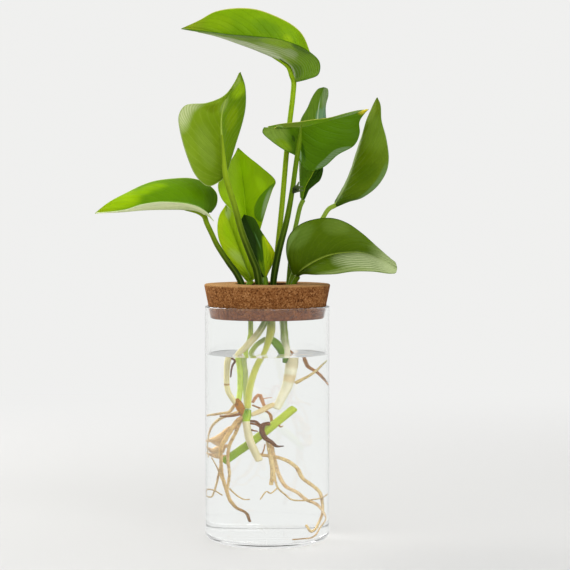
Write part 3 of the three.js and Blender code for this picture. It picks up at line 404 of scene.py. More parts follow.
class Shades:
    """The nodes of one material, or of the world's tree"""

    def __init__(self, name, tree=None):
        if tree is None:
            self.material = bpy.data.materials.new(name)
            self.material.use_nodes = True
            tree = self.material.node_tree
        self.tree = tree
        self.tree.nodes.clear()
        self.place = self.link("TexCoord", output="Object")

    def node(self, kind, settings=None, values=None):
        """A node by its type, with its settings and ramp stops first and then its sockets"""
        node = self.tree.nodes.new("ShaderNode" + kind)
        for key, setting in (settings or {}).items():
            if key == "stops":
                ramp = node.color_ramp.elements
                while len(ramp) < len(setting):
                    ramp.new(0.5)
                for stop, (at, colour) in zip(ramp, setting):
                    stop.position = at
                    stop.color = (*colour, 1)
            else:
                setattr(node, key, setting)
        for key, value in (values or {}).items():
            socket = node.inputs[key]
            if isinstance(value, Link):
                self.tree.links.new(value.socket, socket)
            elif socket.type == "RGBA":
                socket.default_value = (*value, 1)
            else:
                socket.default_value = value
        return node

    def link(self, kind, settings=None, values=None, output=0):
        return Link(self, self.node(kind, settings, values).outputs[output])

    def noise(self, scale, detail=2.0, roughness=0.5):
        values = {"Vector": self.place, "Scale": scale, "Detail": detail, "Roughness": roughness}
        return self.link("TexNoise", None, values)

    def chips(self, scale, at):
        """A random number for each cell of a cell pattern"""
        cells = self.link("TexVoronoi", {"feature": "F1"}, {"Vector": at, "Scale": scale}, "Color")
        return self.link("SeparateColor", None, {"Color": cells})

    def ramp(self, value, *stops):
        return self.link("ValToRGB", {"stops": stops}, {0: value})

    def mix(self, share, low, high, blend="MIX"):
        settings = {"data_type": "RGBA", "blend_type": blend, "clamp_factor": True}
        return self.link("Mix", settings, {0: share, 6: low, 7: high}, output=2)

    def bump(self, height, distance):
        return self.link("Bump", None, {"Strength": 1.0, "Distance": distance, "Height": height})

    def split(self, vector):
        """The three numbers of a vector"""
        node = self.node("SeparateXYZ", None, {"Vector": vector})
        return [Link(self, socket) for socket in node.outputs]

    def uv(self):
        """How far across and along the piece a point lies, as shares"""
        return self.split(self.link("TexCoord", output="UV"))[:2]

    def wave(self, turns):
        """A wave between 0 and 1 that comes round once a turn"""
        return (turns * (2 * math.pi)).sine() * 0.5 + 0.5

    def principled(self, **values):
        sockets = {key.replace("_", " "): value for key, value in values.items()}
        return self.link("BsdfPrincipled", None, sockets)

    def finish(self, surface):
        self.node("OutputMaterial", None, {"Surface": surface})
        return self.material


def tones(codes):
    """Scene-linear colours from web colour codes"""
    colours = []
    for code in codes.split():
        parts = (int(code[i:i + 2], 16) / 255 for i in (0, 2, 4))
        colours.append(tuple(c / 12.92 if c <= 0.04045 else ((c + 0.055) / 1.055) ** 2.4 for c in parts))
    return colours


def tone(code):
    """One scene-linear colour"""
    return tones(code)[0]


def lit_through(paint, clear):
    """Lets the lamps shine through a clear shader, as they do through real glass and water"""
    rays = paint.node("LightPath")
    bare = paint.link("BsdfTransparent", None, {"Color": (1.0, 1.0, 1.0)})
    shadow = Link(paint, rays.outputs["Is Shadow Ray"])
    return paint.finish(paint.link("MixShader", None, {0: shadow, 1: clear, 2: bare}))


def clear_glass():
    """Clear soda glass"""
    paint = Shades("clear_glass")
    return lit_through(paint, paint.principled(
        Base_Color=(0.99, 1.0, 0.995), Roughness=0.0, IOR=1.5, Transmission_Weight=1.0))


def still_water():
    """Clear water"""
    paint = Shades("still_water")
    return lit_through(paint, paint.principled(
        Base_Color=(1.0, 1.0, 1.0), Roughness=0.0, IOR=1.333, Transmission_Weight=1.0))


def pressed_cork():
    """Pressed granulate: fine chips of many browns with dark gaps and pits, paler and speckled at its top
    edge. Painted light makes its left side lighter and its right side darker, painted shade darkens it inside
    the glass neck, and the wall of its hole is painted near black as shade.
    """
    paint = Shades("pressed_cork")
    warp = paint.noise(420, 2.0)
    offset = paint.link("CombineXYZ", None, {0: warp * 0.0014, 1: warp * -0.0011, 2: warp * 0.001})
    shift = paint.link("VectorMath", {"operation": "ADD"}, {0: paint.place, 1: offset})
    coarse = paint.chips(900, shift)
    fine = paint.chips(2200, shift)
    speck = paint.noise(2600, 3.0, 0.75)
    patch = paint.noise(120, 2.0)
    browns = paint.ramp(
        coarse * 0.3 + fine * 0.36 + speck * 0.34 + (patch - 0.5) * 0.16,
        (0.14, (0.02, 0.008, 0.003)), (0.31, (0.1, 0.036, 0.011)), (0.45, (0.2, 0.08, 0.026)),
        (0.6, (0.275, 0.122, 0.044)), (0.76, (0.38, 0.2, 0.085)), (0.92, (0.62, 0.4, 0.2)))
    hole = bpy.context.scene.vessel.collar_radius
    across, back, height = paint.split(paint.place)
    # Paler and speckled towards the top edge
    worn = height.within(CORK_HIGH.z - 1.6 * MM, CORK_HIGH.z - 0.3 * MM)
    edged = paint.mix(worn * (speck * 1.5 - 0.3), browns, (0.56, 0.36, 0.17))
    # Painted light: lighter and warmer on the left side and darker on the right, as if lit from the left
    lit = paint.mix(across.within(-0.035, 0.012), (1.22, 1.14, 0.98), (0.94, 0.86, 0.74))
    sides = paint.mix(1.0, edged, lit, "MULTIPLY")
    # Painted shade: darker and warmer below the glass rim, where the cork sits inside the neck
    sunk = 1 - height.within(GLASS_HIGH.z - 2.2 * MM, GLASS_HIGH.z - 0.8 * MM)
    darker = paint.mix(1.0, sides, (0.88, 0.66, 0.42), "MULTIPLY")
    # Painted shade: the wall of the stopper's hole is painted near black
    bore = (across * across + back * back) ** 0.5
    hole_shade = 1 - bore.within(hole + 0.2 * MM, hole + 1.2 * MM)
    body = paint.mix(hole_shade, paint.mix(sunk, sides, darker), (0.055, 0.022, 0.009))
    relief = coarse * 0.4 + fine * 0.35 + speck * 0.35
    return paint.finish(paint.principled(
        Base_Color=body, Roughness=0.9, Specular_IOR_Level=0.05, Normal=paint.bump(relief, 0.3 * MM)))


def leaf_face(name, left, rib, margins, right=None, tip=None, foot=None, tints_and_painted_light=(), veins=0.12,
              streaks_and_sheen=0.0, gloss=0.36, glow=0.22, rib_width=0.03, grain=(46, -15)):
    """One face of a leaf. left and right are the colours of its halves, at the midrib and at the edge, and
    margins those of its left and right rim. tip and foot are colours at its ends, and a patch is given as
    across, along, its two radii, colour, and how streaky and soft it is, 0 and 1 when left out. Many of these
    colours are painted light and shade: lighter where light falls or shines through, darker where shade
    falls, and pale streaky patches are painted sheen. The streaks lay the rib colour along the fine lines,
    partly as veins and partly as painted sheen. grain is how many fine lines lie along and across a half, and
    glow how much light comes through from behind."""
    paint = Shades(name)
    across, along = paint.uv()
    out = abs(across * 2 - 1)
    half = across.within(0.47, 0.53)
    cloud = paint.noise(70, 3.0)
    fleck = paint.noise(520, 2.0)
    left, right = tones(left), tones(right or left)
    body = paint.mix(half, paint.mix(out, *left), paint.mix(out, *right))
    if foot:
        body = paint.mix(1 - (along + cloud * 0.12).within(0.02, 0.42), body, tone(foot))
    if tip:
        body = paint.mix((along + cloud * 0.08).within(0.8, 1.0), body, tone(tip))
    ray = along * grain[0] + out * grain[1] + cloud * 1.4
    line = paint.wave(ray)
    thread = paint.wave(ray * 3.2 + cloud * 3)
    # Patches: the leaf's own tints, and painted light, shade and sheen
    for x, y, wide, long, code, *rest in tints_and_painted_light:
        streaky, soft = rest or (0, 1)
        off_x = (across - x) / wide
        off_y = (along - y) / long
        far = off_x * off_x + off_y * off_y + (cloud - 0.5) * 0.9 * soft
        near = 1 - far.within(1 - 0.9 * soft, 1 + 0.1 * soft)
        if streaky:
            near = near * (1 - (1 - line * 0.6 - thread * 0.4) * streaky)
        body = paint.mix(near, body, tone(code))
    side_veins = paint.wave(along * 13 - out * 4.5 + cloud * 0.35) ** 10
    body = paint.mix(side_veins * veins, body, tone(rib))
    # Streaks along the fine lines, partly veins and partly painted sheen
    if streaks_and_sheen:
        body = paint.mix(line * thread * streaks_and_sheen, body, tone(rib))
    shaded = paint.mix(1.0, body, (0.84, 0.86, 0.72), "MULTIPLY")
    lighter = paint.mix(1.0, body, (1.12, 1.09, 1.0), "MULTIPLY")
    mottled = paint.mix(cloud.within(0.25, 0.75) * 0.5 + fleck * 0.5, shaded, lighter)
    off_rib = (out + along * rib_width).within(rib_width * 0.5, rib_width * 1.5)
    ribbed = paint.mix(1 - off_rib, mottled, tone(rib))
    edged = paint.mix(out.within(0.965, 0.998), ribbed, paint.mix(half, *tones(margins)))
    relief = side_veins * -0.5 + line * 0.08 + cloud * 0.3 + fleck * 0.2
    skin = paint.principled(
        Base_Color=edged, Roughness=gloss, Specular_IOR_Level=0.06, Normal=paint.bump(relief, 0.22 * MM))
    inner = tuple((a + b) / 2 for a, b in zip(left[0], right[0]))
    through = paint.link("BsdfTranslucent", None, {"Color": inner})
    return paint.finish(paint.link("MixShader", None, {0: glow, 1: skin, 2: through}))


def leaf_rim(name, margins):
    """The thin rim round a blade, in one colour on its left and another on its right"""
    paint = Shades(name)
    half = paint.uv()[0].within(0.47, 0.53)
    tint = paint.mix(half, *tones(margins))
    return paint.finish(paint.principled(Base_Color=tint, Roughness=0.4, Specular_IOR_Level=0.06))


def stalk_skin(name, codes, stripes=0.35, turn=0.0, bands=(), waves=5, turns=(0.1, 0.85)):
    """A satin stalk. codes are its colours at its top and at its foot and of the lighter channels along it;
    with one channel that stripe is a painted highlight down one side. turns is the stretch over which it
    changes colour, waves how many channels there are and turn where they lie. A band is a stretch in another
    colour: where, how long and the colour."""
    paint = Shades(name)
    top, foot, light = tones(codes)
    around, along = paint.uv()
    mottle = paint.noise(260, 3.0)
    body = paint.mix((along + (mottle - 0.5) * 0.08).within(*turns), foot, top)
    ridges = paint.wave((around + mottle * 0.03) * waves + turn)
    fine = paint.wave(around * 31 + mottle)
    # Lighter stripes: ridges, and with a single wave a painted highlight down one side
    body = paint.mix(ridges ** 3 * stripes, body, light)
    for place, reach, code in bands:
        near = 1 - (abs(along - place) + (mottle - 0.5) * reach * 0.7).within(reach * 0.4, reach)
        body = paint.mix(near, body, tone(code))
    spots = paint.mix(mottle, (0.84, 0.85, 0.76), (1.12, 1.11, 1.06))
    return paint.finish(paint.principled(
        Base_Color=paint.mix(1.0, body, spots, "MULTIPLY"), Roughness=0.42, Specular_IOR_Level=0.05,
        Normal=paint.bump(fine * 0.4 + ridges * 0.4 + mottle * 0.6, 0.12 * MM)))


def root_skin(name, codes, spots=0.6):
    """A matte root with dark specks and fine lines along it. codes are its light and its darker colour, and
    the one at its tip if that differs."""
    paint = Shades(name)
    light, dark, *tip = tones(codes)
    around, along = paint.uv()
    patch = paint.noise(150, 3.0, 0.6)
    speck = paint.noise(1300, 2.0, 0.6)
    body = paint.mix(patch.within(0.42, 0.66) * 0.6, light, dark)
    if tip:
        body = paint.mix(along.within(0.7, 1.0), body, tip[0])
    specked = paint.mix((1 - speck).within(0.56, 0.68) * spots, body, tone("4c2f17"))
    lines = paint.wave(around * 17 + patch * 3)
    return paint.finish(paint.principled(
        Base_Color=paint.mix(lines * 0.22, specked, dark), Roughness=0.6, Specular_IOR_Level=0.05,
        Normal=paint.bump(patch * 0.6 + speck * 0.5 + lines * 0.2, 0.3 * MM)))


def deselect():
    bpy.ops.object.select_all(action="DESELECT")


def active(obj):
    deselect()
    obj.select_set(True)
    bpy.context.view_layer.objects.active = obj


def edit(obj):
    active(obj)
    bpy.ops.object.mode_set(mode="EDIT")
    bpy.ops.mesh.select_all(action="SELECT")


def leave_edit():
    bpy.ops.object.mode_set(mode="OBJECT")


def close_seams(obj):
    """Joins the points that meet, drops loose ones and turns all faces outwards"""
    edit(obj)
    bpy.ops.mesh.remove_doubles(threshold=1e-6)
    bpy.ops.mesh.delete_loose(use_verts=True, use_edges=True, use_faces=False)
    bpy.ops.mesh.select_all(action="SELECT")
    bpy.ops.mesh.normals_make_consistent(inside=False)
    leave_edit()


def thicken(obj, thickness, offset, **settings):
    """Gives a sheet its thickness and shades it smooth"""
    active(obj)
    wall = obj.modifiers.new("Thickness", "SOLIDIFY")
    wall.thickness = thickness
    wall.offset = offset
    for key, setting in settings.items():
        setattr(wall, key, setting)
    bpy.ops.object.modifier_apply(modifier=wall.name)
    bpy.ops.object.shade_smooth()


def dress(obj, body, slot, material, *nodes):
    """Gives a finished piece its material, its body and the solids that it stands for"""
    if material:
        obj.data.materials.append(material)
    if nodes:
        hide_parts(*nodes)
    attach(obj, body)


def turned(name, profile, segments):
    """A circle bent into a profile in the XZ plane and spun once round the axis"""
    deselect()
    bpy.ops.mesh.primitive_circle_add(vertices=len(profile), radius=1)
    obj = bpy.context.object
    obj.name = name
    for vertex, (x, z) in zip(obj.data.vertices, profile):
        vertex.co = (x, 0, z)
    edit(obj)
    bpy.ops.mesh.spin(steps=segments, angle=2 * math.pi, center=(0, 0, 0), axis=(0, 0, 1))
    leave_edit()
    close_seams(obj)
    return obj


def arc(x, z, radius, start, end, steps):
    """Points of a circular arc, between two angles in degrees"""
    angles = (math.radians(start + (end - start) * i / steps) for i in range(steps + 1))
    return [(x + radius * math.cos(a), z + radius * math.sin(a)) for a in angles]


def grid(name, across, along, place):
    """A grid shaped by place(x, y), where x and y are shares across and along it, which its UV map keeps"""
    deselect()
    bpy.ops.mesh.primitive_grid_add(x_subdivisions=across, y_subdivisions=along, size=1)
    obj = bpy.context.object
    obj.name = name
    for vertex in obj.data.vertices:
        vertex.co = place(vertex.co.x + 0.5, vertex.co.y + 0.5)
    return obj


class Route:
    """A smooth curve through points, walked by shares of its length"""

    steps_per_span = 14
    look_ahead = 0.004

    def __init__(self, points):
        ends = [2 * points[0] - points[1], *points, 2 * points[-1] - points[-2]]
        self.points = []
        for a, b, c, d in zip(ends, ends[1:], ends[2:], ends[3:]):
            tb = (b - a).length ** 0.5
            tc = tb + (c - b).length ** 0.5
            td = tc + (d - c).length ** 0.5
            for k in range(self.steps_per_span):
                t = tb + (tc - tb) * k / self.steps_per_span
                ab = a.lerp(b, t / tb)
                bc = b.lerp(c, (t - tb) / (tc - tb))
                cd = c.lerp(d, (t - tc) / (td - tc))
                left = ab.lerp(bc, t / tc)
                right = bc.lerp(cd, (t - tb) / (td - tb))
                self.points.append(left.lerp(right, (t - tb) / (tc - tb)))
        self.points.append(points[-1].copy())
        self.marks = [0.0]
        for a, b in zip(self.points, self.points[1:]):
            self.marks.append(self.marks[-1] + (b - a).length)
        self.length = self.marks[-1]

    def at(self, share):
        way = min(max(share, 0.0), 1.0) * self.length
        low, high = 0, len(self.marks) - 1
        while high - low > 1:
            middle = (low + high) // 2
            if self.marks[middle] <= way:
                low = middle
            else:
                high = middle
        span = self.marks[high] - self.marks[low]
        return self.points[low].lerp(self.points[high], (way - self.marks[low]) / span if span else 0)

    def heading(self, share):
        return (self.at(share + self.look_ahead) - self.at(share - self.look_ahead)).normalized()


def spread(values, share):
    """A value from a list that is spread evenly from 0 to 1"""
    place = share * (len(values) - 1)
    low = min(int(place), len(values) - 2)
    return values[low] + (values[low + 1] - values[low]) * (place - low)


def tube(name, points, radii, sides, step, relief=None):
    """A closed tube along a route, with rounded ends. radii are in millimetres, spread evenly along it, or
    a function of the share, and relief(point) is how much thicker it is there, as a share."""
    rounding = 4  # rings at each end
    bulge = 0.5
    route = Route(points)
    steps = max(8, round(route.length / step))
    shares = [0.0] * rounding + [i / steps for i in range(steps + 1)] + [1.0] * rounding
    turn = route.heading(0).orthogonal().normalized()
    rings = []
    for i, share in enumerate(shares):
        forward = route.heading(share)
        turn = (turn - forward * turn.dot(forward)).normalized()
        radius = (radii(share) if callable(radii) else spread(radii, share)) * MM
        from_end = min(i, len(shares) - 1 - i)
        shrink, push = 1.0, 0.0
        if from_end < rounding:
            angle = math.pi / 2 * from_end / rounding
            shrink = math.sin(angle) ** (0.6 if from_end else 1)
            push = math.cos(angle) * bulge * radius * (-1 if i < rounding else 1)
        rings.append((route.at(share) + forward * push, turn.copy(), forward.cross(turn), radius * shrink))

    def place(x, y):
        centre, side, up, radius = rings[round(y * (len(rings) - 1))]
        angle = 2 * math.pi * x
        out = side * math.cos(angle) + up * math.sin(angle)
        if relief and radius:
            radius *= 1 + relief(centre + out * radius)
        return centre + out * radius

    obj = grid(name, sides, len(rings) - 1, place)
    close_seams(obj)
    active(obj)
    bpy.ops.object.shade_smooth()
    return obj


def above(point):
    """A place above the stopper, from the centre of its top"""
    return Vector(point) * MM + Vector((0, 0, CORK_HIGH.z))


def in_collar(place, up, radius):
    """A place in the stopper's hole, at a share of its thickness, with room for a stalk of that radius"""
    room = bpy.context.scene.vessel.collar_radius - (GAP + radius) * MM
    return Vector((place[0] * room, place[1] * room, CORK_LOW.z + up * (CORK_HIGH.z - CORK_LOW.z)))


def below(place):
    """A place in the vessel, from the shares that SUNK_PIECES gives"""
    vessel = bpy.context.scene.vessel
    bore = vessel.outer_radius - vessel.wall
    return Vector((place[0] * bore, place[1] * bore, CORK_LOW.z - place[2] * (CORK_LOW.z - vessel.floor)))


class Blade:
    """A leaf's middle surface: base(x, y) is a point of it, x from edge to edge and y from base to tip"""

    # How much closer the rows lie along the midrib near the base
    crowding = 1.5
    # How far apart the points are that give the upper face its direction
    reach = 0.02

    def __init__(self, leaf):
        self.midrib = Route([above(p) for p in leaf["midrib"]])
        self.edges = [Route([above(p) for p in leaf[side]]) for side in ("left", "right")]
        self.arch = [rise * MM for rise in leaf["arch"]]
        self.rows = {}

    def row(self, y):
        """The midrib, its heading and the two edges at a share of the leaf's length"""
        if y not in self.rows:
            share = y ** self.crowding
            edges = [edge.at(y) for edge in self.edges]
            self.rows[y] = (self.midrib.at(share), self.midrib.heading(share), edges)
        return self.rows[y]

    def base(self, x, y):
        rib, forward, edges = self.row(y)
        side = 0 if x < 0.5 else 1
        out = edges[side] - rib
        share = abs(2 * x - 1)
        up = out.cross(forward) if side else forward.cross(out)
        rise = self.arch[side] * 4 * share * (1 - share) * math.sin(math.pi * min(1, y + 0.1))
        return rib + out * share + up.normalized() * rise

    def normal(self, x, y):
        """Which way the upper face looks"""
        across = self.base(min(1, x + self.reach), y) - self.base(max(0, x - self.reach), y)
        along = self.base(x, min(1, y + self.reach)) - self.base(x, max(0, y - self.reach))
        return across.cross(along).normalized()


class VASE_OT_glass(bpy.types.Operator):
    """Turns the glass cylinder, with its rounded lip, foot and inner floor"""
    bl_idname = "vase.glass"
    bl_label = "Glass cylinder"

    def execute(self, context):
        size = context.scene.vessel
        bore = size.outer_radius - size.wall
        lip = size.wall / 2
        foot = size.foot_rounding
        inner = size.floor_rounding
        obj = turned("glass_cylinder", [
            (0, 0),
            *arc(size.outer_radius - foot, foot, foot, -90, 0, 12),
            *arc(size.outer_radius - lip, size.height - lip, lip, 0, 180, 12),
            *arc(bore - inner, size.floor + inner, inner, 0, -90, 10),
            (0, size.floor),
        ], size.segments)
        dress(obj, "vase", "glass", clear_glass(), "glass_vessel")
        return {"FINISHED"}


class VASE_OT_water(bpy.types.Operator):
    """Fills the cylinder with water, which climbs a little where it meets the glass"""
    bl_idname = "vase.water"
    bl_label = "Water"

    def execute(self, context):
        size = context.scene.vessel
        bore = size.outer_radius - size.wall
        inner = size.floor_rounding
        reach = size.water_overlap
        fall = 1.3  # millimetres
        climb = [(bore - d * MM, size.water_level + size.meniscus * math.exp(-d / fall))
                 for d in (0, 0.2, 0.45, 0.8, 1.3, 2, 3, 4.5, 7)]
        obj = turned("water", [
            (0, size.floor - reach),
            *arc(bore - inner, size.floor + inner, inner + reach, -90, 0, 10),
            (bore + reach, size.water_level + size.meniscus),
            *climb,
            (0, size.water_level),
        ], size.segments)
        dress(obj, "vase", "glass", still_water())
        return {"FINISHED"}


def closely(profile, spacing):
    """The same closed profile with points no further apart than the spacing"""
    points = []
    for (x, z), (next_x, next_z) in zip(profile, profile[1:] + profile[:1]):
        steps = max(1, math.ceil(math.hypot(next_x - x, next_z - z) / spacing))
        points += [(x + (next_x - x) * k / steps, z + (next_z - z) * k / steps) for k in range(steps)]
    return points


class VASE_OT_cork(bpy.types.Operator):
    """Turns the tapered ring of pressed cork, then presses its chips and pits into the surface"""
    bl_idname = "vase.cork"
    bl_label = "Cork stopper"

    # How much the side leans, and how far apart the points of the profile are
    taper = 0.18
    spacing = 0.75 * MM
    # Chips in a metre, how deep a pit is, and from which chance on a chip has fallen out
    chip_scale = 700
    pit_depth = 0.256 * MM
    fallen_out = 0.28

    def execute(self, context):
        size = context.scene.vessel
        edge = size.cork_edge
        low, high, top = CORK_LOW.z, CORK_HIGH.z, CORK_HIGH.x
        bottom = top - (high - low) * self.taper
        hole = size.collar_radius
        lean = math.degrees(math.atan(self.taper))
        profile = [
            *arc(bottom - edge, low + edge, edge, -90, -lean, 5),
            *arc(top - edge, high - edge, edge, -lean, 90, 6),
            *arc(hole + edge, high - edge, edge, 90, 180, 5),
            *arc(hole + edge, low + edge, edge, 180, 270, 5),
        ]
        obj = turned("cork_ring", closely(profile, self.spacing), size.segments)
        depths = [vertex.normal * self.sunk(vertex.co) for vertex in obj.data.vertices]
        for vertex, depth in zip(obj.data.vertices, depths):
            vertex.co -= depth
        active(obj)
        bpy.ops.object.shade_smooth_by_angle(angle=math.radians(60))
        dress(obj, "stopper", "cork", pressed_cork(), "cork_stopper")
        return {"FINISHED"}

    def sunk(self, point):
        """How deep the surface lies at a point: whole chips sit a little lower, and some have fallen out"""
        distances, centres = noise.voronoi(point * self.chip_scale)
        chance = noise.noise(centres[0] * 31.7)
        depth = 0.12 * (0.5 + 0.5 * chance)
        if chance > self.fallen_out:
            depth += max(0.0, 1 - distances[0] * 1.5) * (chance - 0.1)
        gap = max(0.0, 1 - (distances[1] - distances[0]) * 5)
        return self.pit_depth * (depth + 0.16 * gap)


